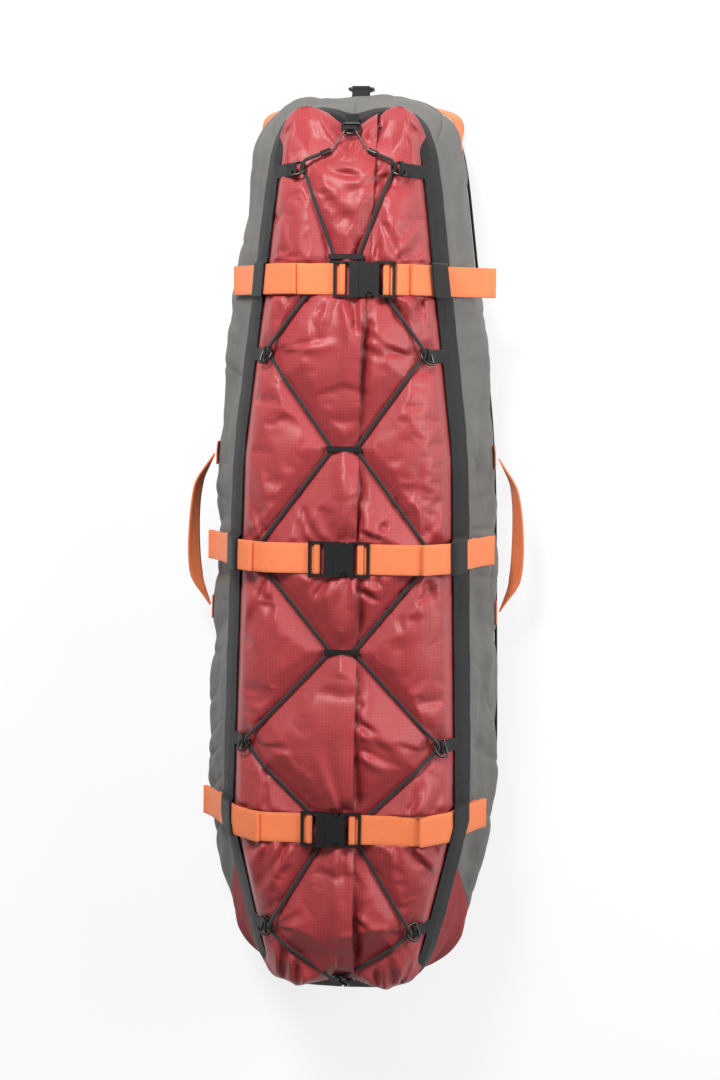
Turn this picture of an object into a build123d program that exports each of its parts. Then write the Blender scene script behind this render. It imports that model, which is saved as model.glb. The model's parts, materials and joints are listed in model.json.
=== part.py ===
import os
from collections import namedtuple

from build123d import *

os.makedirs("parts", exist_ok=True)

# Pulk load bag, closed and filled. Sizes in millimetres.
# X runs across the bag, Y towards its nose, Z up from the ground.

# Cloth, webbing and gaps
WALL_T = 4.0
COVER_T = 3.0
BASE_T = 4.0
TAPE_T = 1.5
TAPE_DROP = 25.0
TAPE_RISE = 16.0
WEB_T = 2.0
WEB_W = 50.0
NARROW_WEB_W = 25.0
GAP = 0.3

# Plan of the bag at its widest: half width at each corner of its sides, from the nose to the tail
BEAM_Y = 150.0
QUARTER_Y = -460.0
Corner = namedtuple("Corner", "y half")
PLAN = (Corner(754, 170), Corner(BEAM_Y, 241), Corner(QUARTER_Y, 256), Corner(-764, 186))

# Levels of the filled bag, from the ground up: each is the plan drawn in at the sides and the ends
RIM_Z = 205.0
CROWN_Z = 285.0
Level = namedtuple("Level", "z inset nose_y tail_y nose_r tail_r spread lift")
LEVELS = (
    Level(BASE_T, 8, 750, -760, 98, 93, 1.0, 0.0),
    Level(85, 0, 754, -774, 105, 100, 1.0, 0.0),
    Level(RIM_Z, 58, 712, -758, 55, 55, 0.9, 0.5),
    Level(252, 86, 650, -712, 45, 45, 0.7, 0.7),
    Level(CROWN_Z, 125, 570, -650, 45, 45, 0.3, 1.0),
)

# Seams
TAIL_SEAM_RIM_Y = -520.0
TAIL_SEAM_RUN = 160.0
TAIL_SEAM_FALL = 145.0
BASE_LIP = 3.0
PIPING_D = 5.0
HEM_W = 12.0
HEM_STEP = 8.0
HEM_BITE = 1.0
HEM_NOSE_Y = 560.0
HEM_TAIL_Y = -640.0

# Straps, with the spare webbing of each half folded under its keeper
Strap = namedtuple("Strap", "name y buckle_x spare_left spare_right rise")
STRAPS = (
    Strap("front", 440, 30, -78, 102, (2.4, 2.4, 4.0, 9.5, 9.5)),
    Strap("mid", -10, -5, -145, 129, (2.4, 2.4, 9.0, 24.0, 20.0)),
    Strap("rear", -460, -14, -130, 131, (2.4, 2.4, 4.0, 13.0, 13.0)),
)
STRAP_END_Z = 168.0
STRAP_TACK = 10.0
SPARE_T = 2 * WEB_T
SPARE_END_Z = 120.0
WRAP_R = 1.1
WRAP_SIDE = 1.5
WRAP_TUCK = 0.5
WRAP_LAP = 2.0
KEEPER_DROP = 20.0
KEEPER_RISE = 14.0
KEEPER_FLAT = 35.0
KEEPER_SIDE = 3.0

# Buckle, along the strap from its middle
BUCKLE_HALF = 50.0
BUCKLE_H = 12.0
BUCKLE_SIDE = 3.5
FRAME_H = 8.0
BAR_W = 5.0
BAR_T = 3.5
BAR_PITCH = 12.5
SOCKET_START = -8.0
LADDER_START = 24.0
SHELL_T = 2.5
PRONG_W = 6.0
PRONG_TIP_X = 17.0
PRONG_OUT = 5.0
PRONG_ROOT = 2.0
PRONG_NECK = 1.0
PRONG_SHOW = 0.8
PRONG_TAPER = 3.5
WINDOW_X = 3.0
WINDOW_LEN = 12.0
WINDOW_SLOPE = 2.0
WINDOW_ROOM = 3.0
FIT = 0.4

# Lacing: rings, cord and clips
CORD_D = 6.0
CORD_LIFT = 5.8
RING_WIRE = 4.0
RING_DEPTH = 22.0
RING_ROLL = 24.0
RING_LIFT = 10.0
RING_CORNER_R = 4.0
RING_FLAT = 0.5
Ring = namedtuple("Ring", "y apex_x")
RINGS = (Ring(614, 68), Ring(318, 116), Ring(-10, 134), Ring(-326, 149), Ring(-640, 108))
NOSE_RING_Y = 668.0
TAIL_RING_Y = -722.0
CLIP_YS = (475.0, 168.0, -165.0, -466.0)
CLIP_X = 19.0
CLIP_POST_R = 2.5
CLIP_BAR_T = 3.0
CLIP_BAR_W = 8.0
HOOK_X = 45.0
HOOK_Y = 640.0
CRIMP_LEN = 16.0
CRIMP_R = 4.5
HOOK_WIRE = 3.0
HOOK_OVER = 5.0
HOOK_LIFT = 4.0
HOOK_SPREAD = 9.0
HOOK_GRIP = 5.5
HOOK_REACH = 7.0
HOOK_TIP = 3.0
HOOK_BEND_R = 1.6

# Carry handles
HANDLE_Z = 78.0
HANDLE_FRONT_Y = 145.0
HANDLE_BACK_Y = -125.0
HANDLE_BOW = 34.0
HANDLE_FLAT = 0.55
HANDLE_BEND_R = 60.0
HANDLE_TAPER = 60.0
HANDLE_T = 3.0
KNUCKLE_R = 3.0
KNUCKLE_LEN = 16.0
KNUCKLE_OUT = 2.0
PATCH_LEN = 40.0

# Nose fittings
GRAB_Z = 14.0
GRAB_BACK_Y = 650.0
TOW_Z = 60.0
TOW_TIP_Y = 774.0
TOW_WIRE = 5.0
TOW_BAR_Y = TOW_TIP_Y - WEB_T - GAP - TOW_WIRE / 2
TOW_RING_W = 40.0
TOW_RING_H = 38.0
TOW_LOOP_W = 30.0
TOW_PAD_H = 34.0


def plan_half(y):
    """Half width of the plan at y, straight from corner to corner and on past the ends."""
    pairs = list(zip(PLAN, PLAN[1:]))
    first, second = next((pair for pair in pairs if y > pair[1].y), pairs[-1])
    return second.half + (y - second.y) * (first.half - second.half) / (first.y - second.y)


def grown(level, amount):
    """A level pushed outwards by an amount all round, with its rise in height."""
    out = amount * level.spread
    return level._replace(
        z=level.z + amount * level.lift,
        inset=level.inset - out,
        nose_y=level.nose_y + out,
        tail_y=level.tail_y - out,
        nose_r=level.nose_r + out,
        tail_r=level.tail_r + out,
    )


def outline_edges(level):
    """Outline of a level, from the nose down the right side and back up the left."""
    ys = (level.nose_y, BEAM_Y, QUARTER_Y, level.tail_y)
    right = [(plan_half(y) - level.inset, y) for y in ys]
    left = [(-x, y) for x, y in reversed(right)]
    radii = [level.nose_r, 0, 0, level.tail_r]
    with BuildLine() as edge:
        FilletPolyline(*right, *left, radius=radii + radii[::-1], close=True)
    return edge.edges()


def envelope(rise):
    """Filled outer form of the bag, with its five levels pushed out by the given amounts."""
    with BuildPart() as form:
        for level, amount in zip(LEVELS, rise):
            pushed = grown(level, amount)
            with BuildSketch(Plane.XY.offset(pushed.z)):
                make_face(outline_edges(pushed))
        loft(ruled=True)
    return form.part


def even(amount):
    return [amount] * len(LEVELS)


def above_strap(strap, amount):
    return envelope([rise + amount for rise in strap.rise])


def band(inner, outer, low, high):
    """Piece of the skin between two forms, inside the box from corner low to corner high."""
    middle = [(a + b) / 2 for a, b in zip(low, high)]
    with BuildPart() as piece:
        with Locations(tuple(middle)):
            Box(*[b - a for a, b in zip(low, high)])
        add(outer, mode=Mode.INTERSECT)
        add(inner, mode=Mode.SUBTRACT)
    return piece.part


def finish(piece, name):
    """Label a finished piece and write its file."""
    piece.label = name
    export_step(piece, f"parts/{name}.step")


def joined(pieces):
    """One piece from several that touch or overlap."""
    with BuildPart() as whole:
        for piece in pieces:
            add(piece)
    return whole.part


def loose(pieces, name):
    """Like pieces that share a name and do not touch."""
    finish(Compound(children=list(pieces)), name)


FAR = 1000.0
SKIN = envelope(even(0))
LINING = envelope([-WALL_T, -WALL_T, -WALL_T, -COVER_T, -COVER_T])
TAPE_IN = envelope(even(GAP))
TAPE_OUT = envelope(even(GAP + TAPE_T))
KEEPER_IN = envelope(even(2 * GAP + TAPE_T))
KEEPER_OUT = envelope(even(2 * GAP + TAPE_T + WEB_T))
SIDES = {"left": -1, "right": 1}


def skin_hit(start, direction):
    """Point and outward normal where a ray from inside the bag leaves its skin."""
    hits = SKIN.find_intersection_points(Axis(start, direction))
    along = Vector(direction)
    return max(hits, key=lambda hit: hit[0].dot(along))


def height_at(column, value):
    """Height at which a column of the level table passes a value, straight between levels."""
    upper = LEVELS[1:]
    for low, high in zip(upper, upper[1:]):
        start = getattr(low, column)
        share = (value - start) / (getattr(high, column) - start)
        if share <= 1:
            return low.z + max(share, 0) * (high.z - low.z)
    return CROWN_Z


def skin_top(x, y, lift):
    """Point above a plan position, raised by lift from the upper skin."""
    heights = (height_at("inset", plan_half(y) - abs(x)), height_at("nose_y", y), height_at("tail_y", y))
    return Vector(x, y, min(heights) + lift)


def side_box(side, x_inner, y_low, y_high, z_low, z_high):
    """Corners of a box from x_inner outwards on one side of the bag."""
    xs = sorted((x_inner, side * FAR))
    return (xs[0], y_low, z_low), (xs[1], y_high, z_high)


# Base panel with a lip all round, and the piping along its seam
with BuildPart() as base_panel:
    with BuildSketch():
        make_face(outline_edges(grown(LEVELS[0], BASE_LIP)))
    extrude(amount=BASE_T)
finish(base_panel.part, "base_panel")

with BuildPart() as seam_piping:
    with BuildSketch():
        make_face(outline_edges(grown(LEVELS[0], BASE_LIP + GAP + PIPING_D)))
    extrude(amount=PIPING_D)
    with BuildSketch():
        make_face(outline_edges(grown(LEVELS[0], BASE_LIP + GAP)))
    extrude(amount=PIPING_D, mode=Mode.SUBTRACT)
finish(seam_piping.part, "seam_piping")

# Side walls, tail panel and cover flaps, cut from one skin along its seams
TAIL_SEAM = Plane((0, TAIL_SEAM_RIM_Y, RIM_Z), x_dir=(1, 0, 0), z_dir=(0, -TAIL_SEAM_FALL, TAIL_SEAM_RUN))

with BuildPart() as shell:
    add(SKIN)
    add(LINING, mode=Mode.SUBTRACT)

with BuildPart() as tub:
    add(shell.part)
    split(bisect_by=Plane.XY.offset(RIM_Z), keep=Keep.BOTTOM)

with BuildPart() as tail_panel:
    add(tub.part)
    split(bisect_by=TAIL_SEAM, keep=Keep.TOP)
finish(tail_panel.part, "tail_panel")

for side_name, side in SIDES.items():
    with BuildPart() as wall:
        add(tub.part)
        split(bisect_by=TAIL_SEAM, keep=Keep.BOTTOM)
        split(bisect_by=Plane.YZ, keep=Keep.TOP if side > 0 else Keep.BOTTOM)
    finish(wall.part, f"wall_{side_name}")

with BuildPart() as cover_flap_right:
    add(shell.part)
    split(bisect_by=Plane.XY.offset(RIM_Z), keep=Keep.TOP)
    split(bisect_by=Plane.YZ, keep=Keep.TOP)
finish(cover_flap_right.part, "cover_flap_right")

hem_lap = band(
    TAPE_IN, envelope(even(GAP + COVER_T)), (-HEM_STEP, HEM_TAIL_Y, RIM_Z), (HEM_W, HEM_NOSE_Y, FAR)
)
hem_step = band(
    envelope(even(-HEM_BITE)),
    envelope(even(GAP + COVER_T)),
    (-HEM_STEP, HEM_TAIL_Y, RIM_Z),
    (-GAP, HEM_NOSE_Y, FAR),
)
with BuildPart() as cover_flap_left:
    add(shell.part)
    split(bisect_by=Plane.XY.offset(RIM_Z), keep=Keep.TOP)
    split(bisect_by=Plane.YZ, keep=Keep.BOTTOM)
    add(hem_step)
    add(hem_lap)
finish(cover_flap_left.part, "cover_flap_left")

# Edge tape folded over the rim
TAPE_TOP = RIM_Z + TAPE_RISE
for side_name, side in SIDES.items():
    tape = band(TAPE_IN, TAPE_OUT, *side_box(side, 0, -FAR, FAR, RIM_Z - TAPE_DROP, TAPE_TOP))
    finish(tape, f"edge_tape_{side_name}")

# Straps: each half runs from its tack on the wall to the middle bar of the buckle. Its spare end is
# folded on it and held by a keeper, sewn flat to the tape at both ends and humped over the webbing.
keepers = {"left": [], "right": []}
for strap in STRAPS:
    strap_in = above_strap(strap, 0)
    strap_out = above_strap(strap, WEB_T)
    spare_in = above_strap(strap, WEB_T + GAP)
    spare_out = above_strap(strap, WEB_T + GAP + SPARE_T)
    hump_in = above_strap(strap, WEB_T + 2 * GAP + SPARE_T)
    hump_out = above_strap(strap, 2 * WEB_T + 2 * GAP + SPARE_T)
    y_low = strap.y - WEB_W / 2
    y_high = strap.y + WEB_W / 2
    strap_top_z = CROWN_Z + strap.rise[-1]
    for side_name, side in SIDES.items():
        run_x = strap.buckle_x + side * BUCKLE_HALF
        run = band(strap_in, strap_out, *side_box(side, run_x, y_low, y_high, STRAP_END_Z, FAR))
        tack_box = side_box(side, 0, y_low, y_high, STRAP_END_Z, STRAP_END_Z + STRAP_TACK)
        tack = band(TAPE_IN, strap_out, *tack_box)
        bar_x = BUCKLE_HALF - BAR_W / 2 - BAR_PITCH
        over = BAR_T + FIT + WEB_T / 2
        loop_plane = Plane((strap.buckle_x, strap.y, strap_top_z), x_dir=(side, 0, 0), z_dir=(0, -side, 0))
        with BuildPart() as loop:
            with BuildSketch(loop_plane):
                with BuildLine() as path:
                    FilletPolyline(
                        (BUCKLE_HALF + WRAP_LAP, WEB_T / 2),
                        (bar_x + BAR_W / 2 + 2 * WRAP_SIDE, WEB_T / 2),
                        (bar_x + BAR_W / 2 + WRAP_SIDE, over),
                        (bar_x - BAR_W / 2 - WRAP_SIDE, over),
                        (bar_x - BAR_W / 2 - 1.2 * WRAP_SIDE, WRAP_TUCK),
                        radius=WRAP_R,
                    )
                trace(path.line, line_width=WEB_T)
            extrude(amount=WEB_W / 2, both=True)
        finish(joined([run, tack, loop.part]), f"strap_{strap.name}_{side_name}")

        spare_x = strap.spare_left if side < 0 else strap.spare_right
        spare = band(spare_in, spare_out, *side_box(side, spare_x, y_low, y_high, SPARE_END_Z, FAR))
        finish(spare, f"stowed_tail_{strap.name}_{side_name}")

        half = WEB_W / 2 + KEEPER_SIDE
        spans = (
            (KEEPER_IN, KEEPER_OUT, -half - KEEPER_FLAT, -half),
            (KEEPER_IN, KEEPER_OUT, half, half + KEEPER_FLAT),
            (KEEPER_IN, hump_out, -half - WEB_T, -half),
            (KEEPER_IN, hump_out, half, half + WEB_T),
            (hump_in, hump_out, -half - WEB_T, half + WEB_T),
        )
        parts = []
        for inner, outer, start, end in spans:
            box = side_box(side, 0, strap.y + start, strap.y + end, RIM_Z - KEEPER_DROP, RIM_Z + KEEPER_RISE)
            parts.append(band(inner, outer, *box))
        keepers[side_name].append(joined(parts).solids()[0])
for side_name, pieces in keepers.items():
    loose(pieces, f"keepers_{side_name}")


def ladder(sketch_plane, half_width):
    """Rails and two crossbars of a buckle's webbing end, outwards along the plane's X."""
    start = LADDER_START
    with BuildPart() as frame:
        with BuildSketch(sketch_plane):
            with Locations((start, 0)):
                Rectangle(BUCKLE_HALF - start, 2 * half_width, align=(Align.MIN, Align.CENTER))
            inner_len = BUCKLE_HALF - start
            with Locations((start, 0)):
                Rectangle(inner_len, 2 * half_width - 2 * BUCKLE_SIDE, align=(Align.MIN, Align.CENTER), mode=Mode.SUBTRACT)
        extrude(amount=FRAME_H)
        with Locations(sketch_plane.location * Location((BUCKLE_HALF - BAR_W, 0, WEB_T + FIT))):
            Box(BAR_W, 2 * half_width, BAR_T, align=(Align.MIN, Align.CENTER, Align.MIN))
        with Locations(sketch_plane.location * Location((BUCKLE_HALF - BAR_W - BAR_PITCH, 0, 0))):
            Box(BAR_W, 2 * half_width, BAR_T, align=(Align.MIN, Align.CENTER, Align.MIN))
    return frame.part


# Buckles: the plug's two prongs spring into windows in the sides of the socket
for strap in STRAPS:
    half_width = WEB_W / 2 + BUCKLE_SIDE
    middle = (strap.buckle_x, strap.y, CROWN_Z + strap.rise[-1])
    socket_plane = Plane(middle, x_dir=(1, 0, 0), z_dir=(0, 0, 1))
    plug_plane = Plane(middle, x_dir=(-1, 0, 0), z_dir=(0, 0, 1))
    socket_len = LADDER_START - SOCKET_START
    window_floor = half_width - PRONG_OUT - WINDOW_ROOM
    with BuildPart() as socket:
        with Locations(socket_plane.location * Location((SOCKET_START, 0, 0))):
            Box(socket_len, 2 * half_width, BUCKLE_H, align=(Align.MIN, Align.CENTER, Align.MIN))
        with Locations(socket_plane.location * Location((SOCKET_START, 0, SHELL_T))):
            Box(
                socket_len - BAR_W,
                2 * (half_width - SHELL_T),
                BUCKLE_H - 2 * SHELL_T,
                align=(Align.MIN, Align.CENTER, Align.MIN),
                mode=Mode.SUBTRACT,
            )
        for edge_sign in (-1, 1):
            with BuildSketch(socket_plane):
                with BuildLine():
                    Polyline(
                        (WINDOW_X - WINDOW_SLOPE, edge_sign * (half_width + GAP)),
                        (WINDOW_X + WINDOW_SLOPE, edge_sign * window_floor),
                        (WINDOW_X + WINDOW_LEN - WINDOW_SLOPE, edge_sign * window_floor),
                        (WINDOW_X + WINDOW_LEN + WINDOW_SLOPE, edge_sign * (half_width + GAP)),
                        close=True,
                    )
                make_face()
            extrude(amount=BUCKLE_H, mode=Mode.SUBTRACT)
        add(ladder(socket_plane, half_width))
    finish(socket.part, f"buckle_socket_{strap.name}")

    inside = half_width - SHELL_T - FIT
    prong_face = half_width - PRONG_SHOW
    prong_low = SHELL_T + FIT
    prong_h = BUCKLE_H - 2 * prong_low
    with BuildPart() as plug:
        add(ladder(plug_plane, half_width))
        shoulder = LADDER_START + SOCKET_START - FIT
        with Locations(plug_plane.location * Location((FIT - SOCKET_START, 0, 0))):
            Box(shoulder, 2 * half_width, BUCKLE_H, align=(Align.MIN, Align.CENTER, Align.MIN))
        for edge_sign in (-1, 1):
            with BuildSketch(socket_plane.offset(prong_low)):
                with BuildLine():
                    Polyline(
                        (SOCKET_START - PRONG_ROOT, edge_sign * inside),
                        (WINDOW_X - WINDOW_SLOPE, edge_sign * (inside - PRONG_NECK)),
                        (WINDOW_X + WINDOW_SLOPE, edge_sign * prong_face),
                        (WINDOW_X + WINDOW_LEN - 2 * WINDOW_SLOPE, edge_sign * prong_face),
                        (PRONG_TIP_X, edge_sign * (inside - PRONG_TAPER)),
                        (PRONG_TIP_X, edge_sign * (inside - PRONG_W)),
                        (SOCKET_START - PRONG_ROOT, edge_sign * (inside - PRONG_W)),
                        close=True,
                    )
                make_face()
            extrude(amount=prong_h)
        with Locations(socket_plane.location * Location((SOCKET_START - PRONG_ROOT, 0, prong_low))):
            Box(PRONG_TIP_X - SOCKET_START, PRONG_W, prong_h, align=(Align.MIN, Align.CENTER, Align.MIN))
    finish(plug.part, f"buckle_plug_{strap.name}")


def ring_planes(apex_x, apex_y, inward, roll):
    """Plane on the skin under the middle of a ring's bar, X towards its bow, and the raised ring's own."""
    inward = Vector(inward)
    point, normal = skin_hit((apex_x, apex_y, BASE_T + 1), (0, 0, 1))
    apex = Plane(point, x_dir=inward - normal * inward.dot(normal), z_dir=normal)
    flat = Plane(apex.location * Location((-RING_DEPTH, 0, 0)))
    return flat, Plane(flat.location * Location((0, 0, RING_LIFT), (roll, 0, 0)))


def ring_solid(plane, width, depth, wire):
    """D-ring: wire swept round a straight bar and a bow, the bar's middle at the plane's origin."""
    half = (width + wire) / 2
    bow_r = half - RING_FLAT
    with BuildPart() as ring:
        with BuildLine(plane) as path:
            FilletPolyline(
                (0, -half),
                (depth, -half),
                (depth, half),
                (0, half),
                radius=[RING_CORNER_R, bow_r, bow_r, RING_CORNER_R],
                close=True,
            )
        with BuildSketch(Plane(path.line @ 0, z_dir=path.line % 0)):
            Circle(wire / 2)
        sweep()
    return ring.part.solids()[0]


def tab_solid(flat, raised, low, high):
    """Webbing tab: a sleeve round the ring's bar, a neck under it and webbing on the cover to the rim."""
    bar = Plane(raised.origin, z_dir=raised.y_dir)
    with BuildPart() as tab:
        with BuildSketch(bar):
            Circle(RING_WIRE / 2 + GAP + WEB_T)
        extrude(amount=half_tab, both=True)
        with Locations(flat.location * Location((0, 0, -TAB_TUCK))):
            Box(2 * WEB_T, 2 * half_tab, RING_LIFT + WEB_T, align=(Align.CENTER, Align.CENTER, Align.MIN))
        with BuildSketch(bar):
            Circle(RING_WIRE / 2 + GAP)
        extrude(amount=NARROW_WEB_W, both=True, mode=Mode.SUBTRACT)
        add(TAPE_IN, mode=Mode.SUBTRACT)
        add(band(TAPE_IN, TAB_OUT, low, high))
    return tab.part.solids()[0]


TAB_OUT = envelope(even(GAP + WEB_T))
TAB_TUCK = 4.0
half_tab = NARROW_WEB_W / 2 - 2
ring_flats = {"left": [], "right": []}
for side_name, side in SIDES.items():
    rings = []
    tabs = []
    for ring in RINGS:
        flat, raised = ring_planes(side * ring.apex_x, ring.y, (-side, 0, 0), side * RING_ROLL)
        ring_flats[side_name].append(flat)
        rings.append(ring_solid(raised, NARROW_WEB_W, RING_DEPTH, RING_WIRE))
        tab_x = side * (abs(flat.origin.X) - TAB_TUCK)
        tab_box = side_box(side, tab_x, ring.y - half_tab, ring.y + half_tab, TAPE_TOP + GAP, FAR)
        tabs.append(tab_solid(flat, raised, *tab_box))
    loose(rings, f"d_rings_{side_name}")
    loose(tabs, f"ring_tabs_{side_name}")

nose_flat, nose_raised = ring_planes(0, NOSE_RING_Y, (0, -1, 0), 0)
finish(ring_solid(nose_raised, NARROW_WEB_W, RING_DEPTH, RING_WIRE), "d_ring_nose")
nose_tab_y = nose_flat.origin.Y - TAB_TUCK
finish(tab_solid(nose_flat, nose_raised, (-half_tab, nose_tab_y, TAPE_TOP + GAP), (half_tab, FAR, FAR)), "ring_tab_nose")

tail_flat, tail_raised = ring_planes(0, TAIL_RING_Y, (0, 1, 0), -RING_ROLL)
finish(ring_solid(tail_raised, NARROW_WEB_W, RING_DEPTH, RING_WIRE), "d_ring_tail")
tail_tab_y = tail_flat.origin.Y + TAB_TUCK
finish(tab_solid(tail_flat, tail_raised, (-half_tab, -FAR, TAPE_TOP + GAP), (half_tab, tail_tab_y, FAR)), "ring_tab_tail")

# Shock cord: over the bow of each ring on one side, through the ring and out under the bow
LEG_X = RING_DEPTH + 0.5
LEG_Y = 10.0
OVER_LIFT = RING_LIFT + 6.5
TURN_X = 14.2
TURN_LIFT = RING_LIFT - 1
UNDER_LIFT = 4.6
TURN_R = 5.0
LEG_R = 6.0
EDGE_R = 15.0
SLACK = 1.5
BEND_ROOM = 14.0
CLIP_R = CLIP_POST_R + GAP + CORD_D / 2
STEP = 2.0


def ring_turn(flat, over_sign):
    """Cord points over a ring's bow, inside the ring and under the bow."""
    local = ((LEG_X, over_sign * LEG_Y, OVER_LIFT), (TURN_X, 0, TURN_LIFT), (LEG_X, -over_sign * LEG_Y, UNDER_LIFT))
    return [flat.from_local_coords(Vector(*point)) for point in local]


def taut(start, end):
    """Points where a cord pulled tight from start to end bends over the skin."""
    count = max(int((end - start).length / STEP), 2)
    spots = [start + (end - start) * (step / count) for step in range(1, count)]
    lifted = [skin_top(spot.X, spot.Y, CORD_LIFT) for spot in spots]
    bend, short = max(zip(lifted, spots), key=lambda pair: pair[0].Z - pair[1].Z)
    room = min((bend - start).length, (bend - end).length)
    if bend.Z - short.Z < SLACK or room < BEND_ROOM:
        return []
    return taut(start, bend) + [bend] + taut(bend, end)


def lace(stops):
    """Whole route of the cord through its stops, with the bends between them and all corner radii."""
    points = [stops[0][0]]
    radii = []
    for point, radius in stops[1:]:
        bends = taut(points[-1], point) if (point - points[-1]).length > 3 * BEND_ROOM else []
        points += bends + [point]
        radii += [EDGE_R] * len(bends) + [radius]
    return points, radii[:-1]


def side_stops(side_name, side):
    """Stops of one side's lacing with their corner radii, from the nose to the last ring."""
    stops = []
    for index, flat in enumerate(ring_flats[side_name]):
        if index:
            stops.append((skin_top(side * CLIP_X, CLIP_YS[index - 1], CORD_LIFT), CLIP_R))
        stops += zip(ring_turn(flat, -side), (LEG_R, TURN_R, LEG_R))
    return stops


hook_ends = {name: skin_top(side * HOOK_X, HOOK_Y, CORD_LIFT + HOOK_LIFT) for name, side in SIDES.items()}
left_stops = side_stops("left", -1)
right_stops = side_stops("right", 1)
tail_stops = list(zip(ring_turn(tail_flat, 1), (LEG_R, TURN_R, LEG_R)))
stops = [(hook_ends["left"], 0), *left_stops, *tail_stops, *reversed(right_stops), (hook_ends["right"], 0)]
route, route_radii = lace(stops)
with BuildPart() as shock_cord:
    with BuildLine() as cord_path:
        FilletPolyline(*route, radius=route_radii)
    with BuildSketch(Plane(cord_path.line @ 0, z_dir=cord_path.line % 0)):
        Circle(CORD_D / 2)
    sweep()
finish(shock_cord.part, "shock_cord")

# Clips that draw the two sides of the cord together: a bar over the cords and a post inside each bend
clips = []
bar_low = CROWN_Z + CORD_LIFT + CORD_D / 2 + GAP
post_low = CROWN_Z + 2 * GAP + COVER_T
for clip_y in CLIP_YS:
    posts = []
    for corner in route[1:-1]:
        if abs(corner.Y - clip_y) < 0.1 and abs(abs(corner.X) - CLIP_X) < 0.1:
            place = route.index(corner)
            ahead = (route[place + 1] - corner).normalized()
            back = (route[place - 1] - corner).normalized()
            inside = (ahead + back).normalized()
            posts.append(corner + inside * (CLIP_R / ahead.cross(inside).length))
    with BuildPart() as clip:
        with Locations(*[(post.X, post.Y, post_low) for post in posts]):
            Cylinder(CLIP_POST_R, bar_low - post_low + CLIP_BAR_T / 2, align=(Align.CENTER, Align.CENTER, Align.MIN))
        middle = (posts[0] + posts[1]) * 0.5
        with Locations((middle.X, middle.Y, bar_low)):
            Box(
                abs(posts[0].X - posts[1].X) + 2 * CLIP_POST_R,
                CLIP_BAR_W,
                CLIP_BAR_T,
                align=(Align.CENTER, Align.CENTER, Align.MIN),
            )
    clips.append(clip.part.solids()[0])
loose(clips, "cord_clips")

# Hooks at the nose ring: a crimp on each end of the cord and a bent wire over the ring
for side_name, side in SIDES.items():
    end = hook_ends[side_name]
    away = (end - (left_stops if side < 0 else right_stops)[0][0]).normalized()
    crimp_end = end + away * CRIMP_LEN
    across = -1 if nose_raised.y_dir.X * side < 0 else 1
    over = nose_raised.from_local_coords(Vector(RING_DEPTH - 1, across * HOOK_SPREAD, HOOK_OVER))
    grip = nose_raised.from_local_coords(Vector(RING_DEPTH - HOOK_REACH, across * HOOK_GRIP, HOOK_OVER - 1))
    bend = nose_raised.from_local_coords(Vector(RING_DEPTH - HOOK_REACH - 1, across * HOOK_GRIP, -HOOK_TIP))
    with BuildPart() as hook:
        with BuildSketch(Plane(end, z_dir=away)):
            Circle(CRIMP_R)
        extrude(amount=CRIMP_LEN)
        with BuildLine() as hook_path:
            FilletPolyline(end, crimp_end + away * HOOK_TIP, over, grip, bend, radius=HOOK_BEND_R)
        with BuildSketch(Plane(hook_path.line @ 0, z_dir=hook_path.line % 0)):
            Circle(HOOK_WIRE / 2)
        sweep()
    finish(hook.part, f"cord_hook_{side_name}")

# Carry handles: a bowed band of webbing that swings about its sewn ends
for side_name, side in SIDES.items():
    ends = [skin_hit((0, y, HANDLE_Z), (side, 0, 0))[0] for y in (HANDLE_FRONT_Y, HANDLE_BACK_Y)]
    stand_off = KNUCKLE_R + WEB_T + 2 * GAP
    middle = (ends[0] + ends[1]) * 0.5 + Vector(side * stand_off, 0, 0)
    along = (ends[0] - ends[1]).normalized()
    span = (ends[0] - ends[1]).length / 2
    hinge = Plane(middle, x_dir=along, z_dir=(0, 0, 1))
    bow_sign = 1 if hinge.y_dir.dot(Vector(side, 0, 0)) > 0 else -1
    with BuildPart() as handle:
        with BuildSketch(hinge):
            with BuildLine() as bow:
                FilletPolyline(
                    (span, 0),
                    (span * HANDLE_FLAT, bow_sign * HANDLE_BOW),
                    (-span * HANDLE_FLAT, bow_sign * HANDLE_BOW),
                    (-span, 0),
                    radius=HANDLE_BEND_R,
                )
            trace(bow.line, line_width=HANDLE_T)
        extrude(amount=NARROW_WEB_W / 2, both=True)
        with BuildSketch(Plane(middle, x_dir=along, z_dir=hinge.y_dir)):
            with BuildLine():
                Polyline(
                    (span, KNUCKLE_R),
                    (span - HANDLE_TAPER, NARROW_WEB_W / 2),
                    (HANDLE_TAPER - span, NARROW_WEB_W / 2),
                    (-span, KNUCKLE_R),
                    (-span, -KNUCKLE_R),
                    (HANDLE_TAPER - span, -NARROW_WEB_W / 2),
                    (span - HANDLE_TAPER, -NARROW_WEB_W / 2),
                    (span, -KNUCKLE_R),
                    close=True,
                )
            make_face()
        extrude(amount=HANDLE_BOW * 2, both=True, mode=Mode.INTERSECT)
        for sign in (-1, 1):
            with BuildSketch(Plane(middle + along * (sign * (span - KNUCKLE_LEN / 2 + KNUCKLE_OUT)), z_dir=along)):
                Circle(KNUCKLE_R)
            extrude(amount=KNUCKLE_LEN / 2, both=True)
    finish(handle.part, f"carry_handle_{side_name}")
    patches = []
    for y in (HANDLE_FRONT_Y, HANDLE_BACK_Y):
        box = side_box(
            side, 0, y - PATCH_LEN / 2, y + PATCH_LEN / 2, HANDLE_Z - NARROW_WEB_W / 2, HANDLE_Z + NARROW_WEB_W / 2
        )
        patches.append(band(TAPE_IN, TAB_OUT, *box).solids()[0])
    loose(patches, f"handle_patches_{side_name}")

# Nose: grab strap round the front, tow loop sewn to the wall and the ring that hangs in it
grab = band(TAPE_IN, TAB_OUT, (-FAR, GRAB_BACK_Y, GRAB_Z), (FAR, FAR, GRAB_Z + NARROW_WEB_W))
finish(grab, "nose_grab_strap")

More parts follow.
